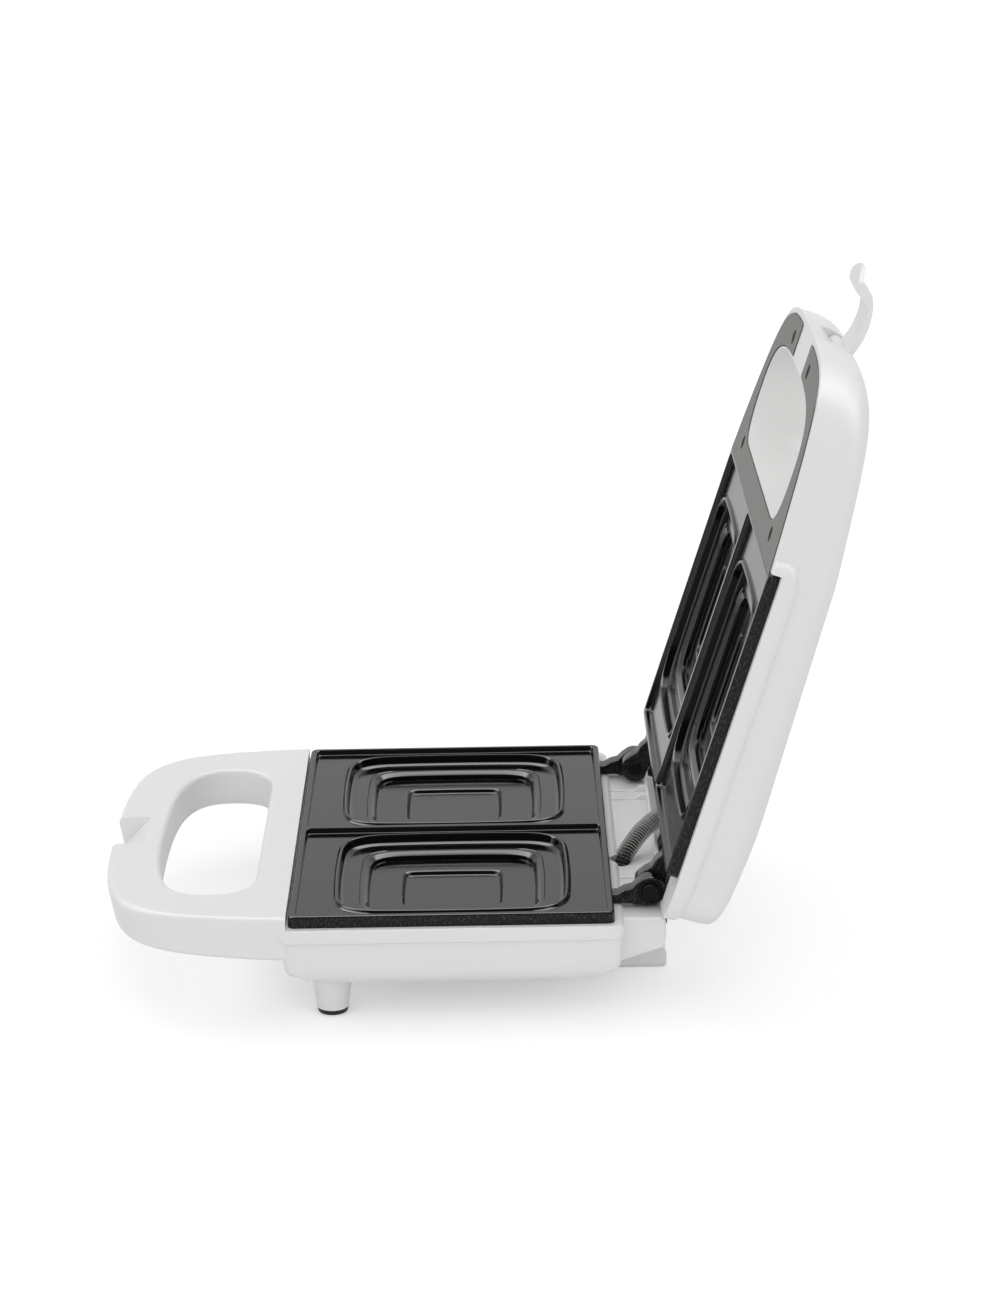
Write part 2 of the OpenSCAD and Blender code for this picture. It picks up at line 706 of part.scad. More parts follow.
// Route of the sprung conduit between the housings, lid open
conduit_points = [conduit_root - [0, 0, 11], conduit_root - [0, 0, 5], conduit_root,
    conduit_root + [-1.5, 1.5, 5], conduit_root + [-6.5, 6, 10.5],
    conduit_root + [-13.5, 12, 15], conduit_root + [-21, 19.5, 17.6],
    conduit_root + [-26.5, 27.5, 18.2], conduit_root + [-30, 36.5, 16.8]];
module flex_conduit() color("#8d8d8a") in_base() tube(conduit_points, conduit_r, 12, 3);

// ---- Lid ----

// The dome; inset shrinks it into the hollow inside its walls
module handle_layer(z, shrink) {
    translate([0, 0, z]) linear_extrude(eps) offset(delta = -shrink)
        lid_handle_plan(0, 0, $fn = skin_fn);
}

module crown_layer(z, shrink, y0, y1, inset) {
    translate([0, 0, z - inset]) linear_extrude(eps)
        plan_rect(lid_half - shrink - inset, y0 + inset, y1 - inset, 10, $fn = skin_fn);
}

module dome(inset = 0) {
    rim = slab_z + band_h - 1;
    hull() {
        for (l = [[rim, 0], [crown_h - 21, 1.2], [crown_h - 16.5, 3], [crown_h - 12.5, 6.5],
                [crown_h - 9, 12]])
            handle_layer(l[0] - inset, l[1] + inset);
        for (l = [[rim, 0, -1, lid_back], [crown_h - 11.5, 1, -1, lid_back],
                [crown_h - 7.2, 3.5, -4, lid_back - 3.5], [crown_h - 4.5, 7.5, 24, lid_back - 22],
                [crown_h - 2.5, 13, 60, lid_back - 42], [crown_h, 50, 72, lid_back - 56]])
            crown_layer(l[0], l[1], l[2], l[3], inset);
    }
}

module panel_screw_places() {
    for (p = [panel_screw_front, panel_screw_back], sx = [-1, 1])
        translate([sx * p[0], p[1], 0]) children();
}

module upper_ear_places() {
    for (sx = [-1, 1]) {
        translate([sx * ear_x[0], -ear_hole_in, 0]) children();
        translate([sx * ear_x[1], plate_d + ear_hole_in, 0]) children();
    }
}

// The notch in the handle's panel, under the latch
module recess_side() {
    far = -lid_reach - 5;
    polygon([[far, -5], [-recess_back, -5], [-recess_back, recess_z], [far, recess_z]]);
}

// The slot that the latch swings in, and the block it is cut from
module latch_slot_side() {
    far = -lid_reach - 5;
    back = pivot_y + barrel_r + fit;
    polygon([[far, 3.5], [-lid_reach - 1.2, 3.5], [pivot_y - 4, 9.2], [pivot_y - 2.6, 11],
        [back, 11], [back, crown_h + 5], [far, crown_h + 5]]);
}

module latch_block() {
    half = slot_half + cheek_t;
    translate([-half, -lid_reach - 5, recess_z])
        cube([2 * half, 5 + pivot_in + barrel_r + fit + cheek_t, crown_h]);
    translate([-recess_half - wall, -lid_reach - 5, recess_z])
        cube([2 * (recess_half + wall), lid_reach + 5 - recess_back + wall, wall]);
}

module lid_bosses() {
    intersection() {
        dome();
        union() {
            upper_ear_places() translate([0, 0, slab_z]) cylinder(r = 4, h = crown_h);
            panel_screw_places() translate([0, 0, panel_boss_z]) cylinder(r = 4, h = crown_h);
            for (sx = [-1, 1]) translate([sx * lamp_x, lamp_y, lamp_seat_z])
                cylinder(r = lens_r + 3.5, h = crown_h);
            for (sx = [-1, 1]) translate([sx * 2 * lamp_x, lamp_y, lamp_seat_z - 2])
                cylinder(r = 3, h = crown_h);
        }
    }
}

module lid_housing() color("#f5f5f4") in_lid() difference() {
    union() {
        difference() {
            union() {
                dome();
                translate([0, 0, slab_z]) linear_extrude(band_h)
                    plan_rect(frame_half, band_front, lid_back, band_r + 3);
                translate([0, 0, recess_z]) linear_extrude(band_z) lid_handle_plan();
            }
            difference() {
                union() {
                    dome(wall);
                    translate([0, 0, -1]) linear_extrude(slab_z + band_h) offset(delta = -wall)
                        lid_handle_plan(0, -handle_gap + wall);
                }
                linear_extrude(crown_h) lid_hole_plan(wall);
                latch_block();
            }
            translate([0, 0, -1]) linear_extrude(half_gap + panel_t + 1)
                offset(delta = -panel_in) lid_handle_plan(0, 1);
            translate([0, 0, slab_z - 1]) linear_extrude(band_h + 2)
                plan_rect(plate_w / 2 - seat_in, seat_in, plate_d - seat_in, 6);
            translate([0, 0, slab_z - 1]) linear_extrude(band_h + 2)
                plan_rect(rear_window, plate_d + 1, lid_back - wall, 3);
        }
        intersection() {
            dome();
            latch_block();
        }
        lid_bosses();
    }
    translate([0, 0, -5]) linear_extrude(3 * crown_h) lid_hole_plan();
    along_x(-recess_half, recess_half) recess_side();
    along_x(-slot_half, slot_half) latch_slot_side();
    translate([0, pivot_y, pivot_h]) rotate([0, 90, 0])
        cylinder(r = latch_pin_r + seat_fit, h = 2 * (slot_half + cheek_t + 0.2), center = true);
    upper_ear_places() cylinder(r = small_r + seat_fit, h = 15);
    panel_screw_places() cylinder(r = small_r + seat_fit, h = 15);
    on_both_sides() translate([lamp_x, lamp_y, 0]) cylinder(r = lens_r + seat_fit, h = 2 * crown_h);
    on_both_sides() translate([2 * lamp_x, lamp_y, 0]) cylinder(r = small_r + seat_fit, h = crown_h - 7);
    on_both_sides() translate([hinge_x - lug_w - 0.6, plate_d + 1, -eps])
        cube([2 * lug_w + 4, lid_back - plate_d + 5, knuckle_r + 1]);
}

module lid_handle_panel() color("#4a4a4a") in_lid() difference() {
    union() {
        translate([0, 0, half_gap]) linear_extrude(panel_t)
            offset(delta = -panel_in - fit) lid_handle_plan(0, 1.2);
        panel_screw_places() translate([0, 0, half_gap]) cylinder(r = panel_boss_r, h = panel_boss_z - half_gap);
    }
    translate([0, 0, -5]) linear_extrude(3 * crown_h) lid_hole_plan();
    along_x(-recess_half - fit, recess_half + fit) polygon([[-lid_reach - 5, -5],
        [-recess_back + fit, -5], [-recess_back + fit, crown_h], [-lid_reach - 5, crown_h]]);
    translate([0, 5 - handle_gap, 0]) cube([2 * plate_w, 10, 50], center = true);
    panel_screw_places() {
        translate([0, 0, -1]) cylinder(r = panel_sink_r, h = panel_seat_z + 1);
        cylinder(r = small_r + fit, h = 20);
    }
}

module panel_screws() color("#9a9a98") in_lid() panel_screw_places()
    translate([0, 0, panel_seat_z]) screw(small_r, 9, small_head_r, small_head_h);

module upper_plate() color("#3a3a39") in_lid() mirror([0, 0, 1]) difference() {
    union() {
        casting(hinge_x - lug_w);
        for (sx = [-1, 1]) {
            below(slab_z - ear_t, slab_z) translate([sx * ear_x[0] - ear_w / 2, -ear_reach])
                square([ear_w, ear_reach + 1]);
            below(slab_z - ear_t, slab_z) translate([sx * ear_x[1] - ear_w / 2, plate_d - 1])
                square([ear_w, ear_reach + 1]);
        }
    }
    upper_ear_places() {
        translate([0, 0, -20]) cylinder(r = small_r + fit, h = 40);
        translate([0, 0, ear_seat - slab_z]) cylinder(r = small_head_r + fit, h = 10);
    }
}

module upper_heater() color("#6b6b66") in_lid() mirror([0, 0, 1]) heating_element();

module upper_reflector() color("#c9c9c6") in_lid() mirror([0, 0, 1]) reflector(thermostat_r + 6);

module upper_reflector_screws() color("silver") in_lid() plate_boss_places()
    translate([0, 0, boss_z + reflector_t]) mirror([0, 0, 1]) screw(screw_r, 8, head_r, head_h);

module upper_plate_screws() color("silver") in_lid() upper_ear_places()
    translate([0, 0, slab_z - ear_seat]) screw(small_r, 9, small_head_r, small_head_h);

thermostat_z = step3_z + cast_t;
module thermostat() color("#7d6a4f") in_lid() translate([pocket_x, pocket_y, thermostat_z + seat_fit])
    difference() {
        union() {
            cylinder(r = thermostat_r, h = 8);
            linear_extrude(1) round_rect(2 * thermostat_arm + 8, 8, 3.9);
            for (sx = [-1, 1]) translate([sx * 4 - 0.4, -3, 8 - eps]) cube([0.8, 6, 5]);
        }
        for (sx = [-1, 1]) translate([sx * thermostat_arm, 0, -1]) cylinder(r = 1.4, h = 5);
    }

module thermostat_screws() color("silver") in_lid() for (sx = [-1, 1])
    translate([pocket_x + sx * thermostat_arm, pocket_y, thermostat_z + 1 + seat_fit])
        mirror([0, 0, 1]) screw(1.2, 1 + seat_fit, 2.2, 1.2);

module lens(x, shade) color(shade) in_lid() translate([x, lamp_y, 0]) {
    translate([0, 0, lamp_seat_z - 1.5]) cylinder(r = lens_r + 1.4, h = 1.5);
    translate([0, 0, lamp_seat_z - eps]) cylinder(r = lens_r, h = lens_top - lamp_seat_z);
}

module power_lens() lens(-lamp_x, "#b3201c");

module ready_lens() lens(lamp_x, "#2f8f3a");

module indicator_lamps() color("#e9a070") in_lid() on_both_sides()
    translate([lamp_x, lamp_y, lamp_seat_z - 1.5 - 6]) cylinder(r = 2.2, h = 6 - seat_fit);

module lamp_holder() color("#dcdcd8") in_lid() difference() {
    translate([-2 * lamp_x - 4, lamp_y - 5, lamp_seat_z - 3.6]) cube([4 * lamp_x + 8, 10, 1.6]);
    on_both_sides() translate([lamp_x, lamp_y, 0]) cylinder(r = 2.2 + seat_fit, h = crown_h);
    on_both_sides() translate([2 * lamp_x, lamp_y, 0]) cylinder(r = small_r + fit, h = crown_h);
}

module lamp_holder_screws() color("silver") in_lid() on_both_sides()
    translate([2 * lamp_x, lamp_y, lamp_seat_z - 3.6]) screw(small_r, 6, small_head_r, small_head_h);

module lid_wire(side, end_x) {
    tube([[side * wire_x, terminal_end + seat_fit, heater_z],
        [side * wire_x, terminal_end + 3, heater_z + 0.6],
        [side * (wire_x - 0.5), terminal_end + 3.6, heater_z + 5.5],
        [side * 92, terminal_end + 2, 24], [side * 70, terminal_end, 25.5],
        [side * 40, terminal_end + 2, 25.8], [end_x + side * 8, plate_d + 1, 25.4],
        [end_x, plate_d + 5.5, 23.5]], wire_r);
}

module lid_wires() color("#e8e2d2") in_lid() {
    lid_wire(1, 9);
    lid_wire(-1, -5);
}

module latch_pin() color("silver") in_latch() rotate([0, 90, 0])
    cylinder(r = latch_pin_r, h = 2 * (slot_half + cheek_t), center = true);

// ---- Latch ----

// Side of the latch hanging out, drawn forwards and up from its pivot
module latch_side() {
    circle(barrel_r);
    intersection() {
        difference() {
            translate(strip_c) circle(strip_r, $fn = 160);
            translate(strip_c) circle(strip_r - latch_t, $fn = 160);
        }
        square([elbow, 20]);
    }
    polygon(hook_edge);
}

module latch() color("#f1f1f0") in_latch() difference() {
    intersection() {
        translate([-latch_w / 2, 0, 0]) rotate([90, 0, -90]) mirror([0, 0, 1])
            linear_extrude(latch_w) latch_side();
        translate([0, 0, -20]) linear_extrude(40) union() {
            translate([-latch_w, tongue_r - tongue_end]) square([2 * latch_w, 60]);
            translate([0, tongue_r - tongue_end]) circle(tongue_r);
        }
    }
    rotate([0, 90, 0]) cylinder(r = latch_pin_r + pin_clear, h = 2 * latch_w, center = true);
}

base_housing();
base_handle_cover();
base_cover_screws();
front_foot_pads();
lower_plate();
lower_heater();
lower_reflector();
lower_plate_screws();
hinge_pins();
terminal_block();
cord_gland();
thermal_fuse();
base_wires();
flex_conduit();
lid_housing();
lid_handle_panel();
panel_screws();
upper_plate();
upper_heater();
upper_reflector();
upper_reflector_screws();
upper_plate_screws();
thermostat();
thermostat_screws();
power_lens();
ready_lens();
indicator_lamps();
lamp_holder();
lamp_holder_screws();
lid_wires();
latch_pin();
latch();
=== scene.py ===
import math

import bmesh
import bpy
from mathutils import Matrix, Vector


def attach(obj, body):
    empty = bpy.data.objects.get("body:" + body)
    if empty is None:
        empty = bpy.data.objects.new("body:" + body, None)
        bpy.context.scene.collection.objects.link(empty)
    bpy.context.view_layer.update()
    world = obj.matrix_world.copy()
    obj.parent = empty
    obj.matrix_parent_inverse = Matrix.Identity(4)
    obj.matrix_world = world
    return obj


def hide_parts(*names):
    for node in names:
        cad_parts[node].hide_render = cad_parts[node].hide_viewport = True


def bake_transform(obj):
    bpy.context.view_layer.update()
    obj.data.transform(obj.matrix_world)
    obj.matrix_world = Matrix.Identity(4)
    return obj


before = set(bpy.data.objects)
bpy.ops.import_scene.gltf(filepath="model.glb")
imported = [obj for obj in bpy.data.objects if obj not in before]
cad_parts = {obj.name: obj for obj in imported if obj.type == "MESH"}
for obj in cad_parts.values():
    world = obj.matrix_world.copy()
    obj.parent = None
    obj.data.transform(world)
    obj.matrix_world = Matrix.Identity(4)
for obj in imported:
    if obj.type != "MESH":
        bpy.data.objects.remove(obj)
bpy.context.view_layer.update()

# ---- Camera ----
# A long lens from the side of the toaster, 17 degrees above its plates. The frame is
# upright, 1000 by 1300, and turned by a degree.

PITCH = math.radians(17)
ROLL = math.radians(0.953)
CAMERA_AT = (1.4960, 0.0067, 0.5887)
ahead = Vector((-math.cos(PITCH), 0, -math.sin(PITCH)))
sideways = Vector((0, 1, 0))
above = sideways.cross(ahead)
across = sideways * math.cos(ROLL) - above * math.sin(ROLL)
upward = sideways * math.sin(ROLL) + above * math.cos(ROLL)
bpy.ops.object.camera_add()
camera = bpy.context.object
camera.name = "camera"
camera.data.sensor_width = 36
camera.data.lens = 98.14
turned = Matrix((across, upward, -ahead)).transposed().to_4x4()
camera.matrix_world = Matrix.Translation(CAMERA_AT) @ turned
bpy.context.scene.camera = camera
bpy.context.scene.view_settings.view_transform = "Standard"

# ---- Floor and studio light ----
# A white sweep with soft light from above and from the far side. The floor is lifted to
# plain white for the camera where nothing shades it, and keeps the toaster's shadow.

FLOOR_LIFT = 0.32      # added to the floor where the camera sees it
FLOOR_IN_GLOSS = 0.8   # how bright the floor is in reflections
SOFTBOX = 6.0          # how bright the softbox is in reflections


def colour(code):
    """A hex colour as linear values."""
    parts = [int(code[i:i + 2], 16) / 255 for i in (0, 2, 4)]
    linear = [p / 12.92 if p <= 0.04045 else ((p + 0.055) / 1.055) ** 2.4 for p in parts]
    return (*linear, 1.0)


def add_node(tree, kind, inputs=None, **settings):
    """Adds a shader node, sets its settings, and gives its inputs values or links."""
    node = tree.nodes.new("ShaderNode" + kind)
    for key, value in settings.items():
        setattr(node, key, value)
    for key, value in (inputs or {}).items():
        if isinstance(value, bpy.types.NodeSocket):
            tree.links.new(value, node.inputs[key])
        else:
            node.inputs[key].default_value = value
    return node


def new_material(name):
    """An empty material with its output node."""
    material = bpy.data.materials.new(name)
    material.use_nodes = True
    material.node_tree.nodes.clear()
    output = add_node(material.node_tree, "OutputMaterial")
    return material, material.node_tree, output


def calculate(tree, operation, first, second):
    return add_node(tree, "Math", {0: first, 1: second}, operation=operation).outputs[0]


def mix(tree, factor, first, second, kind="RGBA"):
    inputs = {"Factor": factor, "A": first, "B": second}
    return add_node(tree, "Mix", inputs, data_type=kind).outputs["Result"]


floor_paint, tree, output = new_material("studio_floor")
matte = add_node(tree, "BsdfDiffuse", {"Color": colour("f4f4f4")})
rays = add_node(tree, "LightPath")
lift = calculate(tree, "MULTIPLY", rays.outputs["Is Camera Ray"], FLOOR_LIFT)
glow = add_node(tree, "Emission", {"Strength": lift})
both = add_node(tree, "AddShader", {0: matte.outputs[0], 1: glow.outputs[0]})
dim = add_node(tree, "Emission", {"Strength": FLOOR_IN_GLOSS})
paint = add_node(tree, "MixShader", {0: rays.outputs["Is Glossy Ray"],
                                     1: both.outputs[0], 2: dim.outputs[0]})
tree.links.new(paint.outputs[0], output.inputs["Surface"])

bpy.ops.object.select_all(action="DESELECT")
bpy.ops.mesh.primitive_plane_add(size=14)
floor = bpy.context.object
floor.name = "studio_floor"
floor.data.materials.append(floor_paint)

world = bpy.data.worlds.new("studio")
bpy.context.scene.world = world
world.use_nodes = True
tree = world.node_tree
tree.nodes.clear()
output = add_node(tree, "OutputWorld")
where = add_node(tree, "TexCoord")
parts = add_node(tree, "SeparateXYZ", {0: where.outputs["Generated"]})
side = add_node(tree, "MapRange", {"Value": parts.outputs["X"], "From Min": -0.2,
                                   "From Max": 0.9, "To Min": 0.82, "To Max": 0.84})
height = add_node(tree, "MapRange", {"Value": parts.outputs["Z"], "From Min": 0.2,
                                     "To Min": 1.0, "To Max": 0.7})
room = calculate(tree, "MULTIPLY", side.outputs[0], height.outputs[0])
# What gloss mirrors: a dark room on the camera's side, a long softbox overhead and a dim
# sweep on the far side. The half circle runs from the camera's side over the top, 0 to 1.
round_about = calculate(tree, "ARCTAN2", parts.outputs["Z"], parts.outputs["X"])
half_turn = calculate(tree, "DIVIDE", round_about, math.pi)
studio = add_node(tree, "ValToRGB", {"Fac": half_turn})
stops = studio.color_ramp.elements
stops[0].position, stops[1].position = 0.0, 1.0
stops[0].color, stops[1].color = (0.013, 0.013, 0.013, 1), (0.125, 0.125, 0.125, 1)
for place, grey in ((0.45, 0.016), (0.52, 1.0), (0.70, 1.0), (0.76, 0.125)):
    stops.new(place).color = (grey, grey, grey, 1)
mirrored = calculate(tree, "MULTIPLY", studio.outputs["Color"], SOFTBOX)
rays = add_node(tree, "LightPath")
glossy = mix(tree, rays.outputs["Is Glossy Ray"], room, mirrored, "FLOAT")
seen = mix(tree, rays.outputs["Is Camera Ray"], glossy, 1.0, "FLOAT")
sky = add_node(tree, "Background", {"Color": (1, 1, 1, 1), "Strength": seen})
tree.links.new(sky.outputs[0], output.inputs["Surface"])

for name, strength, spread, tilt in (("key", 0.3, 55, (12, -20, 0)),
                                     ("fill", 0.4, 80, (-6, 56, 0))):
    bpy.ops.object.light_add(type="SUN", rotation=[math.radians(a) for a in tilt])
    lamp = bpy.context.object
    lamp.name = name + "_light"
    lamp.data.energy = strength
    lamp.data.angle = math.radians(spread)
    lamp.visible_glossy = False

# ---- Base housing ----
# The white lower body, injection-moulded in glossy polypropylene: a tub round the hot plate, a
# handle ring in front of it, a shelf and a stand at the hinge, and two foot posts.
# Sizes are in millimetres from the plates' front edge and the level where the plates meet.

BACK = 152.5         # the hinge line, mm behind the plates' front edge
OPEN = math.radians(108)
BASE_PLACE = Matrix.Diagonal((0.001, 0.001, 0.001, 1)) @ Matrix.Translation((0, -83.595, 50))
LID_PLACE = (BASE_PLACE @ Matrix.Translation((0, BACK, 0)) @ Matrix.Rotation(-OPEN, 4, "X")
             @ Matrix.Translation((0, -BACK, 0)))


def only_none():
    """Leaves edit mode and selects nothing."""
    if bpy.context.object and bpy.context.object.mode != "OBJECT":
        bpy.ops.object.mode_set(mode="OBJECT")
    bpy.ops.object.select_all(action="DESELECT")


def only(piece):
    """Selects one piece and nothing else."""
    only_none()
    piece.select_set(True)
    bpy.context.view_layer.objects.active = piece


def edit(piece):
    only(piece)
    bpy.ops.object.mode_set(mode="EDIT")


def edit_all(piece):
    edit(piece)
    bpy.ops.mesh.select_all(action="SELECT")


def pick(kind, test):
    """In edit mode, selects the vertices, edges or faces that pass a test."""
    bpy.ops.mesh.select_mode(type=kind)
    bpy.ops.mesh.select_all(action="DESELECT")
    mesh = bmesh.from_edit_mesh(bpy.context.edit_object.data)
    elements = {"VERT": mesh.verts, "EDGE": mesh.edges, "FACE": mesh.faces}[kind]
    found = [e for e in elements if test(e)]
    for element in found:
        element.select_set(True)
    mesh.select_flush_mode()
    bmesh.update_edit_mesh(bpy.context.edit_object.data)


def extrude(*move):
    """In edit mode, pulls new faces out of the selected ones."""
    bpy.ops.mesh.extrude_region_move(TRANSFORM_OT_translate={"value": move})


def stretch(size, about):
    """In edit mode, scales what is selected about a point."""
    bpy.ops.transform.resize(value=size, center_override=about)


def leave():
    bpy.ops.object.mode_set(mode="OBJECT")


def leave_outward():
    """Turns all faces outwards and leaves edit mode."""
    bpy.ops.mesh.select_all(action="SELECT")
    bpy.ops.mesh.normals_make_consistent(inside=False)
    leave()


def mid(element):
    """The middle of an edge or face."""
    return sum((v.co for v in element.verts), Vector()) / len(element.verts)


def is_sharp(edge, angle):
    return len(edge.link_faces) == 2 and edge.calc_face_angle(0) > math.radians(angle)


def loft(name, rings, quarter=8):
    """A closed shape through level rounded rectangles, each (half x, half y, corner radius,
    middle x, middle y, z). Each is a circle whose quarters are moved out to the corners."""
    count = 4 * quarter
    only_none()
    bpy.ops.mesh.primitive_circle_add(vertices=count, radius=1)
    piece = bpy.context.object
    piece.name = name
    bpy.ops.object.mode_set(mode="EDIT")
    bpy.ops.mesh.delete(type="VERT")
    half_step = math.pi / count
    for half_x, half_y, radius, x, y, z in rings:
        bpy.ops.mesh.primitive_circle_add(vertices=count, radius=radius / math.cos(half_step),
                                          location=(x, y, z), rotation=(0, 0, half_step))
        for axis, middle, half in ((0, x, half_x), (1, y, half_y)):
            for way in (1, -1):
                mesh = bmesh.from_edit_mesh(piece.data)
                mesh.verts.ensure_lookup_table()
                for v in mesh.verts:
                    v.select = False
                for v in mesh.verts[-count:]:
                    v.select = (v.co[axis] - middle) * way > 0
                bmesh.update_edit_mesh(piece.data)
                push = [0, 0, 0]
                push[axis] = way * (half - radius)
                bpy.ops.transform.translate(value=push)
    for i in range(len(rings) - 1):
        bpy.ops.mesh.select_mode(type="EDGE")
        mesh = bmesh.from_edit_mesh(piece.data)
        mesh.verts.index_update()
        for e in mesh.edges:
            ends = sorted(v.index // count for v in e.verts)
            e.select_set(ends in ([i, i], [i + 1, i + 1]))
        bmesh.update_edit_mesh(piece.data)
        bpy.ops.mesh.bridge_edge_loops()
    for i in (0, len(rings) - 1):
        mesh = bmesh.from_edit_mesh(piece.data)
        mesh.verts.index_update()
        for e in mesh.edges:
            e.select_set(all(v.index // count == i for v in e.verts))
        bmesh.update_edit_mesh(piece.data)
        bpy.ops.mesh.edge_face_add()
    leave_outward()
    return piece


def combine(piece, tool, operation):
    """Joins a tool to a piece, or cuts the piece with it, and removes the tool."""
    only(piece)
    step = piece.modifiers.new("combine", "BOOLEAN")
    step.object = tool
    step.operation = operation
    step.solver = "EXACT"
    bpy.ops.object.modifier_apply(modifier="combine")
    bpy.data.objects.remove(tool)


def add(piece, tool):
    combine(piece, tool, "UNION")


def cut(piece, tool):
    combine(piece, tool, "DIFFERENCE")


def drawing(name, knots, plane, level):
    """A flat face inside a closed outline, drawn in the XY or YZ plane as a curve. A knot is a
    point, or (point, handle before, handle after) where the outline bends."""
    only_none()
    bpy.ops.curve.primitive_bezier_curve_add()
    line = bpy.context.object
    line.name = name
    line.data.resolution_u = 16
    line.data.splines.clear()
    spline = line.data.splines.new("BEZIER")
    spline.use_cyclic_u = True
    spline.bezier_points.add(len(knots) - 1)
    place = (lambda p: (p[0], p[1], level)) if plane == "XY" else (lambda p: (level, p[0], p[1]))
    for knot, point in zip(knots, spline.bezier_points):
        bent = isinstance(knot[0], tuple)
        point.co = place(knot[0] if bent else knot)
        for k, side in ((1, "left"), (2, "right")):
            if bent and knot[k] is not None:
                setattr(point, f"handle_{side}_type", "FREE")
                setattr(point, f"handle_{side}", place(knot[k]))
            else:
                setattr(point, f"handle_{side}_type", "VECTOR")
    bpy.ops.object.convert(target="MESH")
    bpy.ops.object.mode_set(mode="EDIT")
    bpy.ops.mesh.select_all(action="SELECT")
    bpy.ops.mesh.remove_doubles(threshold=0.001)
    bpy.ops.mesh.dissolve_limited(angle_limit=math.radians(0.2))
    bpy.ops.mesh.edge_face_add()
    leave()
    return line


def pull(piece, move):
    """Makes a drawing solid by pulling its face along a vector."""
    edit_all(piece)
    extrude(*move)
    leave_outward()
    return piece


def round_off(piece, width, segments=3, angle=40, test=None):
    """Rounds the edges that are sharper than an angle, or those of them that pass a test."""
    edit(piece)
    pick("EDGE", lambda e: is_sharp(e, angle) and (test is None or test(mid(e))))
    bpy.ops.mesh.bevel(offset=width, segments=segments, affect="EDGES", clamp_overlap=True)
    leave()


def finish(piece, place, angle=35):
    """Closes a finished piece's seams, puts it in the toaster's own place and shades it."""
    edit_all(piece)
    bpy.ops.mesh.remove_doubles(threshold=0.002)
    bpy.ops.mesh.dissolve_degenerate(threshold=0.001)
    bpy.ops.mesh.select_mode(type="EDGE")
    bpy.ops.mesh.select_all(action="DESELECT")
    bpy.ops.mesh.select_non_manifold()
    bpy.ops.mesh.fill_holes(sides=8)
    leave_outward()
    piece.matrix_world = place @ piece.matrix_world
    bpy.ops.object.transform_apply()
    bpy.ops.object.shade_smooth_by_angle(angle=math.radians(angle))
    step = piece.modifiers.new("even", "WEIGHTED_NORMAL")
    step.keep_sharp = True
    bpy.ops.object.modifier_apply(modifier="even")


def block(name, low, high):
    """A box between two corners."""
    only_none()
    bpy.ops.mesh.primitive_cube_add(size=1, location=[(a + b) / 2 for a, b in zip(low, high)],
                                    scale=[b - a for a, b in zip(low, high)])
    bpy.context.object.name = name
    return bpy.context.object


def drum(name, radius, low, high, x, y, top=None, sides=32):
    """An upright cylinder or cone between two levels."""
    only_none()
    bpy.ops.mesh.primitive_cone_add(vertices=sides, radius1=radius,
                                    radius2=radius if top is None else top,
                                    depth=high - low, location=(x, y, (low + high) / 2))
    bpy.context.object.name = name
    return bpy.context.object


ALONG_X = (0, math.pi / 2, 0)
ALONG_Y = (math.pi / 2, 0, 0)


def rod(name, radius, length, middle, turn=(0, 0, 0), sides=32):
    """A round bar about its middle, upright unless turned."""
    only_none()
    bpy.ops.mesh.primitive_cylinder_add(vertices=sides, radius=radius, depth=length,
                                        location=middle, rotation=turn)
    bpy.context.object.name = name
    return bpy.context.object


def dress(tree, output, factor, codes, height, bump, values):
    """Ends a material: a factor mixes two colours, a height lifts the surface by bump,
    (strength, metres), and the other values go straight to the shader."""
    strength, distance = bump
    relief = add_node(tree, "Bump", {"Height": height, "Strength": strength, "Distance": distance})
    skin = add_node(tree, "BsdfPrincipled", {
        "Base Color": mix(tree, factor, colour(codes[0]), colour(codes[1])),
        "Normal": relief.outputs["Normal"], **values})
    tree.links.new(skin.outputs[0], output.inputs["Surface"])


def grained(name, codes, cloud, bump, values, grain=None):
    """A finish with its colours mixed by one noise, (scale, detail), which a pair of
    roughnesses also follows. The same noise lifts the surface, or a finer one does."""
    material, tree, output = new_material(name)
    where = add_node(tree, "TexCoord").outputs["Object"]

    def noise(scale, detail):
        inputs = {"Vector": where, "Scale": scale, "Detail": detail}
        return add_node(tree, "TexNoise", inputs).outputs["Fac"]

    factor = noise(*cloud)
    height = noise(*grain) if grain else factor
    if isinstance(values["Roughness"], tuple):
        low, high = values["Roughness"]
        gloss = add_node(tree, "MapRange", {"Value": factor, "To Min": low, "To Max": high})
        values = {**values, "Roughness": gloss.outputs["Result"]}
    dress(tree, output, factor, codes, height, bump, values)
    return material


def moulded_white(name):
    """Glossy moulded plastic: an even near-white, with the faint waviness and fine grain that a
    polished mould leaves, which soften the edges of its reflections."""
    return grained(name, ("ebebea", "eeeeed"), (30.0, 2.0), (0.12, 0.0004),
                   {"Roughness": (0.38, 0.46), "IOR": 1.49}, grain=(900.0, 2.0))


HAND_HOLE = [((0, -60.9), (-60.4, -60.9), (60.4, -60.9)),
             ((80.6, -36.9), (80.6, -55.9), (80.6, -23.8)),
             ((58.6, -16.8), (73.6, -16.8), None), ((-58.6, -16.8), None, (-73.6, -16.8)),
             ((-80.6, -36.9), (-80.6, -23.8), (-80.6, -55.9))]


def handle_outline(front, half, root, bulge, shoulder):
    return [((0, front), (-bulge, front), (bulge, front)), ((half, root), shoulder, None),
            ((-half, root), None, (-shoulder[0], shoulder[1]))]


def corners(x, y):
    return [(-x, y), (x, y)]


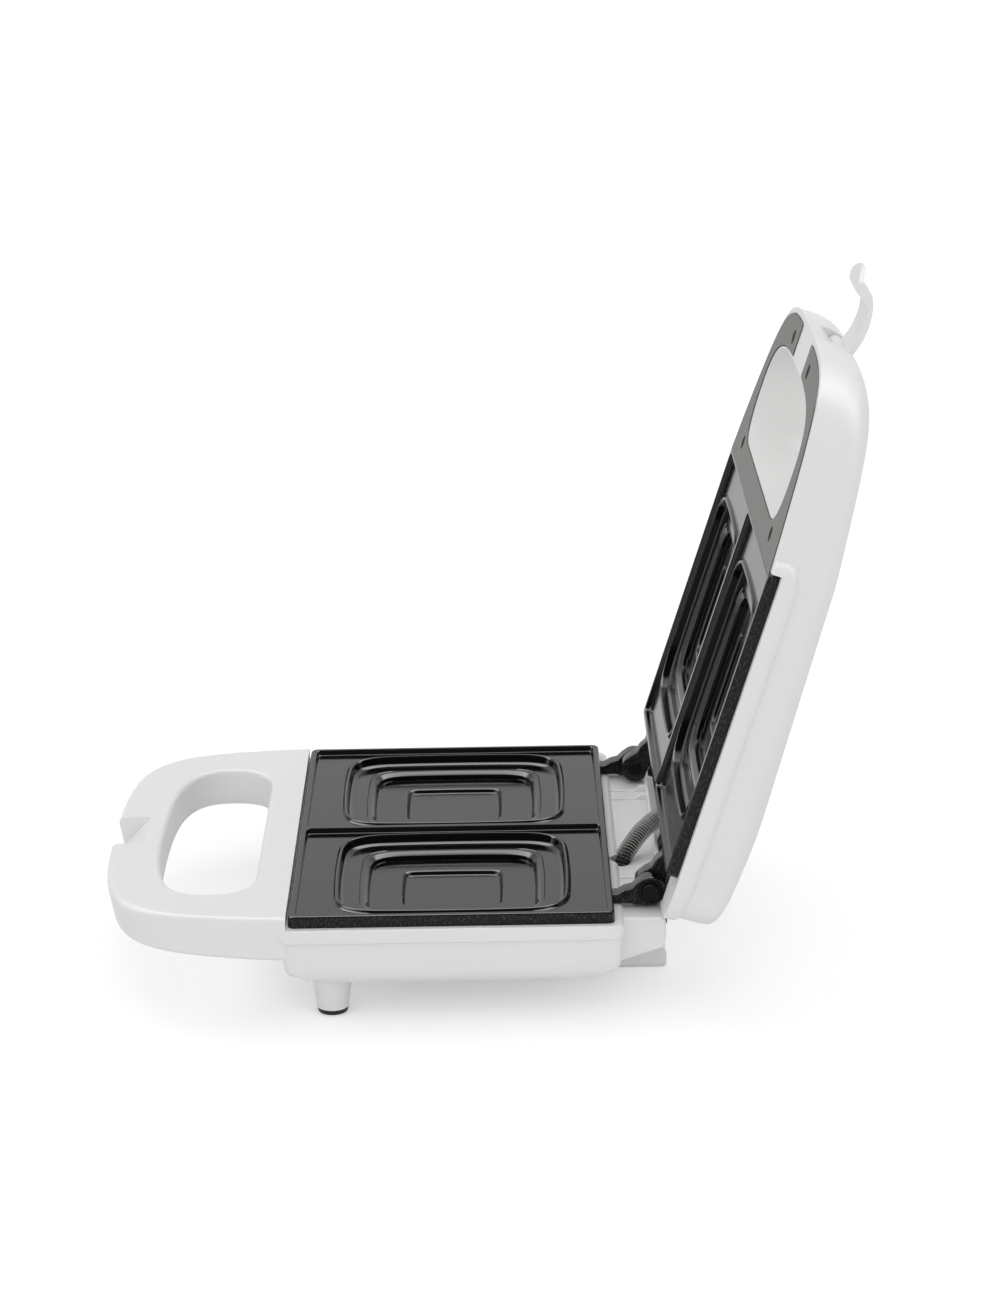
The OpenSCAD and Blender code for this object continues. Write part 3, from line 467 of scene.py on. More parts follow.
PLATE_SCREWS = corners(85.3, 9) + corners(85.3, 127)
COVER_SCREWS = corners(40, -72.5) + corners(100.4, -12)
POSTS = corners(92.5, 16.5)
CONDUIT = (32.5, 141.5)
GLAND_X, GLAND_Z = 72, -14.5
CATCH = 17.1         # half the width of the latch's catch

base = drawing("base_body", handle_outline(-84, 113.2, -1.5, 98, (107.5, -77)), "XY", -0.3)
pull(base, (0, 0, -19.2))
# The handle's underside draws in and rises towards the front
edit(base)
pick("VERT", lambda v: v.co.z < -19)
stretch((0.993, 0.962, 1), (0, -1.5, -19.5))
leave()
for corner in base.data.vertices:
    if corner.co.z < -19 and corner.co.y < -12:
        corner.co.z += 2.5 * (-12 - corner.co.y) / 69
round_off(base, 3.2, 5, 40, lambda m: m.z > -0.5 and m.y < -2)
round_off(base, 2.0, 4, 40, lambda m: m.z < -16 and m.y < -2)
cut(base, pull(drawing("hole", HAND_HOLE, "XY", 4), (0, 0, -30)))
round_off(base, 2.4, 4, 50, lambda m: m.z > -0.4 and abs(m.x) < 82 and -62 < m.y < -16)

# The recess for the cover
recess = drawing("recess", handle_outline(-79.6, 111, -3.9, 95, (105, -72)), "XY", -15)
cut(base, pull(recess, (0, 0, -9)))
# The front of the catch with its ramp, then the room behind its lip
for side_view in ([(-69, -0.3), (-69, 5), (-89, 5), (-89, -24), (-80.5, -24), (-80.5, -12)],
                  [(-80.6, -12), (-77.7, -12), (-66.8, -5.4), (-66.8, -30), (-86, -30)]):
    notch = drawing("notch", side_view, "YZ", -CATCH)
    cut(base, pull(notch, (2 * CATCH, 0, 0)))

# The lip band round the plate, and the tub below it
add(base, loft("band", [
    (113.5, 70.4, 3, 0, 68.4, -5.4), (114.1, 71.9, 4, 0, 67.9, -5.9),
    (114.4, 73.1, 5, 0, 67.4, -6.8), (114.4, 73.6, 5, 0, 67.2, -8.4),
    (114.4, 73.3, 5, 0, 67.2, -10.2), (114.2, 72.4, 4.6, 0, 67.6, -11.2),
    (113.2, 71, 3.4, 0, 68.2, -11.8)]))
add(base, loft("tub", [
    (112.6, 71.2, 2.6, 0, 68.2, -8), (112.6, 71.2, 2.6, 0, 68.2, -12),
    (112.4, 71.1, 3, 0, 68.1, -20), (112.0, 70.8, 4, 0, 68.1, -24.5),
    (111.2, 69.8, 5, 0, 68.2, -27), (109.9, 66.5, 7, 0, 69, -29.2), (107.8, 59, 9, 0, 71, -31),
    (104.5, 48, 11, 0, 73, -32.6), (99, 34, 13, 0, 73.5, -33.8), (90, 21, 14, 0, 73, -34.5)]))
# The shelf and the stand, the ribs that the open lid rests on, and the foot posts
shelf = drawing("shelf", [(133, -7.5), (157, -7.5), (158.5, -9.3), (158.5, -16.5), (157.3, -21),
                          (137, -27.5), (133, -27.5)], "YZ", -100)
pull(shelf, (200, 0, 0))
round_off(shelf, 1.3, 3, 30)
add(base, shelf)
stand = drawing("stand", [(137, -22), (155.5, -18), (156.8, -24),
                          ((157.6, -32), (157.4, -28), (157.8, -37)),
                          ((161, -44), (161, -42), None), (161, -50), (137, -50)], "YZ", -51)
pull(stand, (102, 0, 0))
round_off(stand, 2.4, 5, 50, lambda m: m.z < -49.5)
add(base, stand)
for x in (-64, -52.5, 50, 61.5):
    rib = drawing("rib", [(136, -9), (136, -6.8), (151.5, -6.8), (154.4, -4.7), (156.7, -4.7),
                          (157.8, -5.1), (157.8, -9)], "YZ", x)
    pull(rib, (2.5, 0, 0))
    round_off(rib, 0.5, 2, 50, lambda m: m.z > -8)
    add(base, rib)
for x, y in POSTS:
    add(base, drum("post", 6.8, -47.6, -26, x, y, 10))

# The inside, the plate's seat, the screw bosses, and the holes for the gland and the conduit
cut(base, loft("hollow", [
    (110, 68.8, 4, 0, 68.2, -11), (109.8, 68.6, 4, 0, 68.2, -22), (108.4, 66, 5, 0, 68.6, -26.2),
    (104, 52, 8, 0, 72, -29.6), (92, 26, 11, 0, 73, -31.8)]))
cut(base, loft("seat", [(107, 65, 6, 0, 68, -4), (107, 65, 6, 0, 68, -12.5)]))
for x, y in sorted(PLATE_SCREWS):
    add(base, drum("boss", 6.4, -30, -18.1, x, y))
    cut(base, drum("sink", 4, -45, -24.5, x, y))
cut(base, rod("gland_hole", 5.05, 12, (GLAND_X, 158, GLAND_Z), ALONG_Y))
cut(base, drum("conduit_hole", 4.6, -24, -2, *CONDUIT))
WHITE = moulded_white("moulded_polypropylene")
base.data.materials.append(WHITE)
finish(base, BASE_PLACE)
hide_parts("base_housing")
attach(base, "base")

# ---- Base handle cover ----
# A flat white moulding that closes the hollow handle from below. It sits in a shallow recess
# and is held by four small screws.

COVER_UNDER = -17
cover = drawing("base_handle_cover_plate",
                handle_outline(-79.2, 110.6, -4.3, 94.6, (104.6, -71.6)), "XY", COVER_UNDER)
pull(cover, (0, 0, 1.95))
hole = drawing("hole", HAND_HOLE, "XY", 4)
edit_all(hole)
stretch((80.9 / 80.6, 44.7 / 44.1, 1), (0, -38.85, 4))
leave()
cut(cover, pull(hole, (0, 0, -30)))
cut(cover, block("notch", (-19.3, -90, -20), (19.3, -65.6, -10)))
for x, y in COVER_SCREWS:
    cut(cover, drum("screw_hole", 1.8, -20, -10, x, y))
round_off(cover, 0.35, 2, 50, lambda m: m.z < -16.9)
cover.data.materials.append(WHITE)
finish(cover, BASE_PLACE)
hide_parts("base_handle_cover")
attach(cover, "base")

# ---- Screws ----
# Zinc-plated steel self-tapping screws with low domed heads and a cross recess. Each group of
# like screws is one piece, driven from below in the base and from the plate's side in the lid.


def worn_metal(name, codes, rough, scratch, metal=1.0):
    """Bare or plated metal: its own colour in the reflections, with fine scratches."""
    return grained(name, codes, (700.0, 4.0), (scratch, 0.0002),
                   {"Roughness": (rough - 0.08, rough + 0.08), "Metallic": metal})


ZINC = worn_metal("zinc_plated_steel", ("b9bcc0", "d2d3d4"), 0.34, 0.2)


def screw(name, shank, length, head, height):
    """A screw that points up, with its seat at z = 0."""
    body = drum(name, head, -height, 0, 0, 0, sides=28)
    round_off(body, height * 0.55, 4, 60, lambda m: m.z < -height + 0.01)
    long, short = head * 0.62, head * 0.16
    for x, y in ((long, short), (short, long)):
        cut(body, block("cross", (-x, -y, -height - 1), (x, y, -height * 0.35)))
    shoulder = length - shank * 1.4
    add(body, drum("stem", shank, -0.2, shoulder, 0, 0, sides=18))
    add(body, drum("tip", shank, shoulder - 0.01, length, 0, 0, 0.3, 18))
    return body


def join(pieces, name):
    """Makes several pieces one."""
    only(pieces[0])
    for piece in pieces[1:]:
        piece.select_set(True)
    bpy.ops.object.join()
    bpy.context.object.name = name
    return bpy.context.object


def screws(name, node, sizes, places, body, place, flip=False):
    """Copies one screw to its places, (x, y, z) of the seats, as one piece."""
    group = []
    first = screw(name, *sizes)
    for spot in places:
        only(first)
        bpy.ops.object.duplicate()
        copy = bpy.context.object
        if flip:
            copy.rotation_euler = (math.pi, 0, 0)
        copy.location = spot
        bpy.ops.object.transform_apply()
        group.append(copy)
    bpy.data.objects.remove(first)
    joined = join(group, name)
    joined.data.materials.append(ZINC)
    finish(joined, place, 30)
    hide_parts(node)
    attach(joined, body)


# Shank radius, length, head radius and head height
SMALL = (1.5, 9, 2.9, 1.6)
screws("handle_cover_screws", "base_cover_screws", SMALL,
       [(*p, COVER_UNDER) for p in COVER_SCREWS], "base", BASE_PLACE)
screws("lower_plate_fixings", "lower_plate_screws", (1.75, 16.6, 3.6, 2.2),
       [(*p, -24.5) for p in PLATE_SCREWS], "base", BASE_PLACE)

# ---- Front foot pads ----
# Two black rubber pads on the ends of the foot posts, pushed on and slightly rounded where
# they meet the table.

RUBBER = grained("black_rubber", ("121212", "202020"), (500.0, 3.0), (0.3, 0.0003),
                 {"Roughness": 0.62})
pads = [drum("foot_pad", 5.9, -50, -49.2, x, y, 6.5, 40) for x, y in POSTS]
for pad in pads:
    edit(pad)
    pick("FACE", lambda f: f.normal.z > 0.9)
    extrude(0, 0, 1.6)
    leave()
    round_off(pad, 0.35, 3, 20)
pads = join(pads, "foot_pad")
pads.data.materials.append(RUBBER)
finish(pads, BASE_PLACE, 30)
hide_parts("front_foot_pads")
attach(pads, "base")

# ---- Cord gland ----
# A black rubber bush with a flange, pressed into the back of the shelf, where the mains lead
# goes in.

gland = rod("gland_bush", 5, 3.9, (GLAND_X, 156.55, GLAND_Z), ALONG_Y, 40)
bpy.ops.object.transform_apply()
edit(gland)
pick("FACE", lambda f: f.normal.y > 0.9)
extrude(0, 0.01, 0)
stretch((1.24, 1, 1.24), (GLAND_X, 158.5, GLAND_Z))
extrude(0, 1.49, 0)
leave()
round_off(gland, 0.5, 3, 50, lambda m: m.y > 158)
cut(gland, rod("bore", 3.4, 12, (GLAND_X, 157, GLAND_Z), ALONG_Y, 40))
round_off(gland, 0.3, 2, 60,
          lambda m: m.y > 159.5 and (m - Vector((GLAND_X, m.y, GLAND_Z))).length < 3.6)
gland.data.materials.append(RUBBER)
finish(gland, BASE_PLACE, 30)
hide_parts("cord_gland")
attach(gland, "base")

# ---- Lower hot plate ----
# An aluminium die casting, sprayed black with non-stick. It has a raised rim, a divider, two
# square pockets that go down in three steps, and two lugs for the hinge pins.

PLATE_DEEP = 136
PLATE_MID = PLATE_DEEP / 2
POCKET_X = 54.3
SLAB = 5.4           # underside of the slab below the meeting plane
KNUCKLE = 6.4        # radius of a lug round its pin


def squared(name, half_x, half_y, x, y, z, corner):
    """A flat face with soft corners and slightly bowed sides."""
    knots = []
    for way_x, way_y, swap in ((1, 1, 0), (-1, 1, 1), (-1, -1, 0), (1, -1, 1)):
        two = [((0.988, 1 - corner), (1.006, 0.4 * (1 - corner)), (0.978, 1 - 0.31 * corner)),
               ((1 - corner, 0.988), (1 - 0.31 * corner, 0.978), (0.4 * (1 - corner), 1.006))]
        if swap:
            two = [(p, after, before) for p, before, after in reversed(two)]
        knots += [tuple((x + way_x * half_x * u, y + way_y * half_y * v) for u, v in knot)
                  for knot in two]
    return drawing(name, knots, "XY", z)


def cup(name, half_x, half_y, x, y, corner, rings):
    """A solid drawn as a squared face and pulled level by level, each (inset, z)."""
    inset, level = rings[0]
    piece = squared(name, half_x - inset, half_y - inset, x, y, level, corner)
    edit(piece)
    bpy.ops.mesh.select_mode(type="FACE")
    bpy.ops.mesh.select_all(action="SELECT")
    for step, z in rings[1:]:
        extrude(0, 0, z - level)
        size = ((half_x - step) / (half_x - inset), (half_y - step) / (half_y - inset), 1)
        stretch(size, (x, y, z))
        inset, level = step, z
    leave_outward()
    return piece


def casting(name, lug_x):
    """One hot plate, drawn face up with its rim just below z = 0."""
    y = PLATE_MID
    plate = loft(name, [(110.7, 68.6, 3, 0, y, -SLAB), (110.5, 68.5, 3, 0, y, -1.4),
                        (110.35, 68.35, 3, 0, y, -0.9), (110, 68, 2.8, 0, y, -0.5),
                        (109.5, 67.5, 2.4, 0, y, -0.3)])
    for way in (1, -1):
        # The shallow well that leaves the rim and the divider, and the back of the pocket
        x = way * 54.65
        cut(plate, loft("well", [
            (53.35, 66, 2.6, x, y, 1), (53.35, 66, 2.6, x, y, -0.3), (53.1, 65.75, 2.4, x, y, -0.5),
            (52.9, 65.55, 2.2, x, y, -0.9), (52.7, 65.35, 2.1, x, y, -2.1),
            (52.4, 65.05, 1.8, x, y, -2.5), (51.9, 64.55, 1.4, x, y, -2.7)]))
        x = way * POCKET_X
        add(plate, loft("under", [
            (53, 53, 28, x, y, -4.8), (51.8, 51.8, 27, x, y, -9), (50.5, 50.5, 26, x, y, -9.9),
            (41, 41, 17, x, y, -10.3), (39.8, 39.8, 15.5, x, y, -12.3),
            (25, 25, 9.5, x, y, -12.6), (23.6, 23.6, 8.6, x, y, -14.4)]))
        # The raised lip that crimps the bread, then the pocket and its two lower steps
        for part, half_x, half_y, corner, rings, apply in (
                ("lip", 46.6, 49.2, 0.42, [
                    (-2.5, -3.2), (-2.4, -2.8), (-2.0, -2.6), (-1.5, -2.2), (-1.05, -1.7),
                    (-0.8, -1.45), (-0.4, -1.35)], add),
                ("first", 46.6, 49.2, 0.42, [
                    (-0.5, 1), (-0.4, -1.3), (-0.1, -1.4), (0.15, -1.65), (0.3, -2.1), (0.9, -4.4),
                    (1.15, -4.85), (2.3, -5.5), (2.9, -5.63), (3.6, -5.65)], cut),
                ("second", 35.2, 37.1, 0.40, [
                    (-3.6, -5.2), (-3.0, -5.7), (-2.7, -5.95), (-1.6, -6.0), (-1.2, -6.1),
                    (0.6, -7.25), (0.85, -7.7), (0.95, -9.0), (1.2, -9.3), (1.8, -9.42)],
                 cut),
                ("third", 20.3, 21.4, 0.24, [
                    (-1.9, -8.9), (-1.1, -9.42), (-0.8, -9.48), (-0.1, -9.85), (0.6, -10.9),
                    (1.1, -11.15), (2.0, -11.2)], cut)):
            apply(plate, cup(part, half_x, half_y, x, y, corner, rings))
        # The hinge lug, round about the pin
        lug = drawing("lug", [
            (134, -SLAB), (134, -1), (138.5, -0.9), (141.5, 0.9), (144.6, 1.6), (146.4, 3.4),
            ((148.4, 4.9), (147.1, 4.1), (149.6, 5.8)),
            ((BACK, KNUCKLE), (150.8, KNUCKLE), (156, KNUCKLE)),
            ((BACK + KNUCKLE, 0), (BACK + KNUCKLE, 3.5), (BACK + KNUCKLE, -3.5)),
            ((BACK, -KNUCKLE), (156, -KNUCKLE), (149.6, -KNUCKLE)), (146, -6.1), (143.5, -SLAB)],
            "YZ", way * lug_x)
        pull(lug, (way * 8, 0, 0))
        round_off(lug, 0.8, 2, 60)
        add(plate, lug)
    for x, y in sorted(PLATE_SCREWS):
        add(plate, rod("boss", 4.2, 12.2, (x, y, -11.1), sides=24))
    return plate


def sprayed_coating(name, specular):
    """PTFE non-stick sprayed on cast aluminium: near black and glossy, with the fine orange-peel of
    the spray. A lower specular makes a duller copy for the steep pocket walls, which is painted
    shade."""
    return grained(name, ("090909", "101010"), (60.0, 3.0), (0.02, 0.0001),
                   {"Roughness": (0.10, 0.16), "Specular IOR Level": specular},
                   grain=(1400.0, 3.0))


def rough_casting():
    """The sides and lugs as they come from the die, under a thin coat: pitted and scored at about a
    millimetre, so they glint in specks. The lighter specks in the colour are painted glints."""
    material, tree, output = new_material("coated_die_casting")
    where = add_node(tree, "TexCoord").outputs["Object"]
    lean = add_node(tree, "Mapping", {"Vector": where, "Scale": (1.0, 2.6, 1.0),
                                      "Rotation": (math.radians(35), 0, 0)})
    pits = add_node(tree, "TexNoise", {"Vector": lean.outputs[0], "Scale": 560.0,
                                       "Detail": 4.0, "Roughness": 0.6})
    # Lighter specks of colour where the noise is high: painted glints
    painted_glints = add_node(tree, "MapRange", {"Value": pits.outputs["Fac"],
                                       "From Min": 0.53, "From Max": 0.66})
    dress(tree, output, painted_glints.outputs[0], ("030303", "40403e"), pits.outputs["Fac"],
          (1.0, 0.0009), {"Roughness": 0.26})
    return material


COATING = sprayed_coating("nonstick_coating", 0.5)
# A duller copy of the coating, which darkens the steep pocket walls as painted shade
WALL_SHADE_COATING = sprayed_coating("nonstick_coating_painted_shade_walls", 0.12)
ROUGH = rough_casting()


def coat(plate):
    """Gives a casting its coating, a duller copy on the pocket walls as painted shade, and the
    rougher finish outside.
    """
    plate.data.materials.clear()
    for material in (COATING, ROUGH, WALL_SHADE_COATING):
        plate.data.materials.append(material)
    edit(plate)
    # The sides, the lugs and the back
    pick("FACE", lambda f: f.normal.z < 0.35 and (mid(f).z < -0.9 or mid(f).y > 134)
         and (abs(mid(f).x) > 109.8 or not -0.9 < mid(f).y < 136.9 or f.normal.z < -0.5))
    plate.active_material_index = 1
    bpy.ops.object.material_slot_assign()
    # The steep walls of the pockets, darkened with the duller coating as painted shade
    pick("FACE", lambda f: 0.05 < f.normal.z < 0.8 and mid(f).z < -1.9 and 15 < mid(f).y < 121)
    plate.active_material_index = 2
    bpy.ops.object.material_slot_assign()
    leave()


lower = casting("lower_hot_plate", 80.3)
coat(lower)
finish(lower, BASE_PLACE)
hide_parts("lower_plate")
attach(lower, "base")

# ---- Hinge pins ----
# Two dark steel pins through the lugs of both plates. Each has a flat rolled head outside and a
# peened end inside.

DARK_PIN_STEEL = worn_metal("dark_pin_steel", ("1d1d1d", "2b2b2b"), 0.42, 0.3)
PIN_RADIUS = 2.2
halves = []
for way in (1, -1):
    pin = rod("pin", PIN_RADIUS, 16.9, (way * 80.25, BACK, 0), (0, way * math.pi / 2, 0))
    bpy.ops.object.transform_apply()
    edit(pin)
    for side, reach, radius in ((way, 1.6, 3.7), (-way, 0.8, 3.1)):
        size = radius / PIN_RADIUS
        pick("FACE", lambda f: f.normal.x * side > 0.9)
        extrude(0.01 * side, 0, 0)
        stretch((1, size, size), (way * 80, BACK, 0))
        extrude(reach * side, 0, 0)
    leave()
    round_off(pin, 0.4, 3, 50, lambda m: abs(abs(m.x) - 80.25) > 9)
    halves.append(pin)
pins = join(halves, "hinge_pin_pair")
pins.data.materials.append(DARK_PIN_STEEL)
finish(pins, BASE_PLACE, 30)
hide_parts("hinge_pins")
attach(pins, "base")

# ---- Lid housing ----
# The white lid, one glossy polypropylene moulding: a shallow dome that runs out into the upper
# handle, a raised band round the hot plate, a hand-hole, and a slot that the latch swings in.

LID_HOLE = [((0, -64.3), (-62.2, -64.3), (62.2, -64.3)), ((83, -37), (83, -59.3), (83, -20.6)),
            ((61, -13.6), (76, -13.6), None), ((-61, -13.6), None, (-76, -13.6)),
            ((-83, -37), (-83, -20.6), (-83, -59.3))]

# Level over the body, level at the handle's front, how far the sides, front and back draw in
DOME = [(10.8, 10.8, 0, 0.2, 0), (16, 13.2, 0.5, 0.7, 0), (21, 15.6, 0.9, 1.3, 0),
        (24.4, 17.8, 1.3, 2.2, 0.3), (26.2, 19.3, 1.9, 3.0, 0.8), (27.8, 20.8, 2.9, 4.2, 2.2),
        (29.3, 22.3, 4.3, 5.6, 4.8), (30.6, 23.6, 6, 7.2, 9.5), (31.7, 24.8, 8, 9, 17),
        (32.8, 25.9, 10.5, 11.2, 26), (33.8, 26.8, 14, 14, 35), (34.7, 27.5, 19, 20, 42),
        (35.3, 27.7, 26, 38, 48), (35.8, 27.8, 34, 72, 52), (36.2, 27.8, 42, 112, 54.5),
        (36.5, 27.8, 50, 152, 56)]
HALF, FRONT, REAR, RIM = 110.5, -82.7, 155.5, 0.8   # the dome's outline and its level


def dome(name, shrink):
    """The dome, pulled up ring by ring from its outline, then lowered towards the handle."""
    shell = drawing(name, [
        ((0, FRONT), (-84.1, FRONT), (84.1, FRONT)), ((109.8, -1.5), (89.5, -82.3), None),
        (HALF, 6), ((HALF, 145.5), None, (HALF, 151)), ((100.5, REAR), (106, REAR), None),
        ((-100.5, REAR), None, (-106, REAR)), ((-HALF, 145.5), (-HALF, 151), None), (-HALF, 6),
        ((-109.8, -1.5), None, (-89.5, -82.3))], "XY", RIM)
    edit(shell)
    bpy.ops.mesh.select_mode(type="FACE")
    bpy.ops.mesh.select_all(action="SELECT")
    half, front, rear, level = HALF, FRONT, REAR, RIM
    for over, _low, side, fore, aft in DOME:
        extrude(0, 0, over - level)
        wide, long = HALF - side, (REAR - aft) - (FRONT + fore)
        stretch((wide / half, long / (rear - front), 1), (0, front, over))
        bpy.ops.transform.translate(value=(0, FRONT + fore - front, 0))
        half, front, rear, level = wide, FRONT + fore, REAR - aft, over
    leave_outward()
    levels = {over: low for over, low, *_ in DOME}
    for corner in shell.data.vertices:
        over = min(levels, key=lambda z: abs(z - corner.co.z))
        if abs(over - corner.co.z) < 0.01:
            share = min(max((corner.co.y + 70) / 130, 0), 1)
            corner.co.z = levels[over] * (1 - share) + over * share
    if shrink:
        edit_all(shell)
        stretch((1 - shrink / HALF, 1 - shrink / 119, 1), (0, 36.4, 0))
        bpy.ops.transform.translate(value=(0, 0, -shrink))
        leave()
    return shell


def hand_hole(name, wider):
    """The hand-hole as an upright cutter, made wider all round."""
    cutter = drawing(name, LID_HOLE, "XY", -5)
    edit_all(cutter)
    stretch((1 + wider / 83, 1 + wider / 25.35, 1), (0, -38.95, 0))
    leave()
    return pull(cutter, (0, 0, 60))


def panel_outline(name, level, inset, back):
    """The outline of the dark panel, drawn in all round and moved back at the plate."""
    outline = handle_outline(-79.9, 109.8, -1.3, 82.1, (88.0, -79.5))
    shape = drawing(name, outline, "XY", level)
    edit_all(shape)
    bpy.ops.mesh.inset(thickness=inset, depth=0)
    bpy.ops.mesh.select_all(action="INVERT")
    bpy.ops.mesh.delete(type="FACE")
    pick("VERT", lambda v: v.co.y > -5)
    bpy.ops.transform.translate(value=(0, back, 0))
    leave()
    return shape


EARS = corners(55, -5) + corners(50, 141)
PANEL_SCREWS = corners(35.3, -70.8) + corners(80.2, -9.6)
LAMP_X, LAMP_Y = 14, 8
WALL = 2.4           # thickness of the shell

lid = dome("lid_shell", 0)
cut(lid, block("under", (-130, -1.5, -5), (130, 170, 5.4)))
band = loft("band", [
    (113.6, 80.6, 7.6, 0, 74.6, 0.8), (114.3, 81.1, 8, 0, 74.3, 1.4),
    (114.4, 81.2, 8, 0, 74.2, 6.8), (114.4, 81.0, 8, 0, 74.4, 9.0),
    (114.2, 80.4, 7.9, 0, 74.9, 10.6),
    (113.6, 79.2, 7.6, 0, 75.7, 11.9), (112.6, 77.6, 7.2, 0, 76.7, 12.9),
    (111.3, 75.6, 6.8, 0, 77.7, 13.6), (108.8, 72, 6, 0, 79.2, 14.7)])
# Its rear corners are longer, and its front ends hook round the plate's corners
edit(band)
pick("VERT", lambda v: v.co.y > 144)
stretch((1, 2.5, 1), (0, 155.4, 0))
leave()
cut(band, block("under", (-130, -1.5, -5), (130, 170, 5.4)))
cut(band, block("between", (-104, -20, -5), (104, 0, 6)))
add(lid, band)

hollow = dome("hollow", WALL)
cut(hollow, hand_hole("wall", WALL))
cut(hollow, block("latch_walls", (-17.8, -90, 0.8), (17.8, -70.9, 50)))
cut(hollow, block("insert", (-23, -90, 0.8), (23, -61.8, 3.2)))
for (x, y), z in [(p, 5.4) for p in EARS] + [(p, 7) for p in PANEL_SCREWS]:
    cut(hollow, drum("boss", 4, z, 45, x, y, sides=20))
cut(hollow, block("skirt", (-130, -1.5, -5), (130, 170, 12.3)))
cut(lid, hollow)
# The recess for the dark panel, then the plate's seat, the lug gaps and the lamp holes
recess = panel_outline("recess", -1, 2.2, 4)
pull(recess, (0, 0, 4.3))
cut(recess, block("insert", (-20.6, -90, -2), (20.6, -64.1, 5)))
cut(recess, hand_hole("collar", 0.9))
cut(lid, recess)
cut(lid, loft("seat", [(107, 65, 6, 0, 68, 4), (107, 65, 6, 0, 68, 14)]))
cut(lid, loft("back_window", [(68, 8, 3, 0, 145, 4), (68, 8, 3, 0, 145, 14)]))
for way in (-1, 1):
    low, high = sorted((way * 71.4, way * 91.4))
    cut(lid, block("lug_gap", (low, 137, -1), (high, 161, 7.4)))
    cut(lid, drum("lamp_hole", 4.05, 15, 45, way * LAMP_X, LAMP_Y))
cut(lid, hand_hole("hole", 0))
# The slot that the latch swings in
slot = drawing("slot", [(-90, 3.5), (-83.9, 3.5), (-81, 9.2), (-79.6, 11), (-73.1, 11),
                        (-73.1, 50), (-90, 50)], "YZ", -15.6)
cut(lid, pull(slot, (31.2, 0, 0)))
round_off(lid, 1.6, 4, 50, lambda m: m.z > 22 and abs(m.x) < 84 and -66 < m.y < -12)
LID_WHITE = moulded_white("moulded_polypropylene_lid")
lid.data.materials.append(LID_WHITE)
finish(lid, LID_PLACE)
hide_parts("lid_housing")
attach(lid, "lid")

# ---- Handle panel ----
# A dark satin moulding in heat-resistant plastic, coloured a lighter grey as painted sheen for how
# it shines at a low angle. It lies in the upper handle round the hand-hole, and four screws hold it
# from deep round sinks.

panel = panel_outline("handle_panel", 0.3, 3.15, 2.4)
pull(panel, (0, 0, 2))
for x, y in PANEL_SCREWS:
    add(panel, drum("boss", 4.6, 1, 7, x, y))
cut(panel, hand_hole("hole", 1.3))
cut(panel, block("insert", (-20.9, -90, -5), (20.9, -63.8, 20)))
for x, y in PANEL_SCREWS:
    cut(panel, drum("sink", 3.3, -2, 5, x, y))
    cut(panel, drum("way", 1.8, -2, 12, x, y))
round_off(panel, 0.3, 2, 50, lambda m: m.z < 0.35)
# Its grey is lighter than the dark plastic: painted sheen
satin = grained("heat_resistant_plastic", ("5a5956", "676663"), (1100.0, 2.0), (0.25, 0.0002),
                {"Roughness": 0.42})
panel.data.materials.append(satin)
finish(panel, LID_PLACE)
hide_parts("lid_handle_panel")
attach(panel, "lid")
screws("handle_panel_screws", "panel_screws", SMALL, [(*p, 5) for p in PANEL_SCREWS], "lid",
       LID_PLACE)

# ---- Upper hot plate ----
# The same casting as the lower one, turned over, with its lugs inside the lower ones and four
# ears that screw it to the lid.

upper = casting("upper_hot_plate", 72)
# Ears in front of the plate and behind it
for x, y in EARS:
    low, high = (PLATE_DEEP, y + 4) if y > 0 else (y - 4, 0)
    ear = block("ear", (x - 6, low, -SLAB), (x + 6, high, -2.6))
    round_off(ear, 1.5, 3, 50, lambda m: abs(m.x - x) > 5.9 and abs(m.z + 4) < 0.2)
    add(upper, ear)
    cut(upper, drum("ear_sink", 3.2, -4.2, 0, x, y))
    cut(upper, drum("ear_hole", 1.8, -8, 0, x, y))
coat(upper)
edit_all(upper)
stretch((1, 1, -1), (0, 0, 0))
bpy.ops.mesh.normals_make_consistent(inside=False)
leave()
finish(upper, LID_PLACE)
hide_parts("upper_plate")
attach(upper, "lid")
screws("upper_plate_fixings", "upper_plate_screws", SMALL, [(*p, 4.2) for p in EARS], "lid",
       LID_PLACE)
screws("upper_reflector_fixings", "upper_reflector_screws", (1.75, 8, 3.6, 2.2),
       [(*p, 18.0) for p in PLATE_SCREWS], "lid", LID_PLACE, flip=True)

# ---- Indicator lenses ----
# Two small caps of clear coloured polycarbonate, red for power and green for ready. They are
# pushed up through the lid, held by a flange, and stand a millimetre proud with domed tops.


def tinted_clear(name, deep, light):
    """Polycarbonate dyed through, with its colour lighter where its surface turns away from view,
    at the rim: a painted glow.
    """
    material, tree, output = new_material(name)
    edge = add_node(tree, "LayerWeight", {"Blend": 0.4})
    where = add_node(tree, "TexCoord").outputs["Object"]
    haze = add_node(tree, "TexNoise", {"Vector": where, "Scale": 400.0, "Detail": 2.0})
    # The lighter colour at grazing angles is a painted rim glow
    dress(tree, output, edge.outputs["Facing"], (deep, light), haze.outputs["Fac"],
          (0.15, 0.0002), {"Roughness": 0.16, "IOR": 1.58, "Transmission Weight": 0.35})
    return material


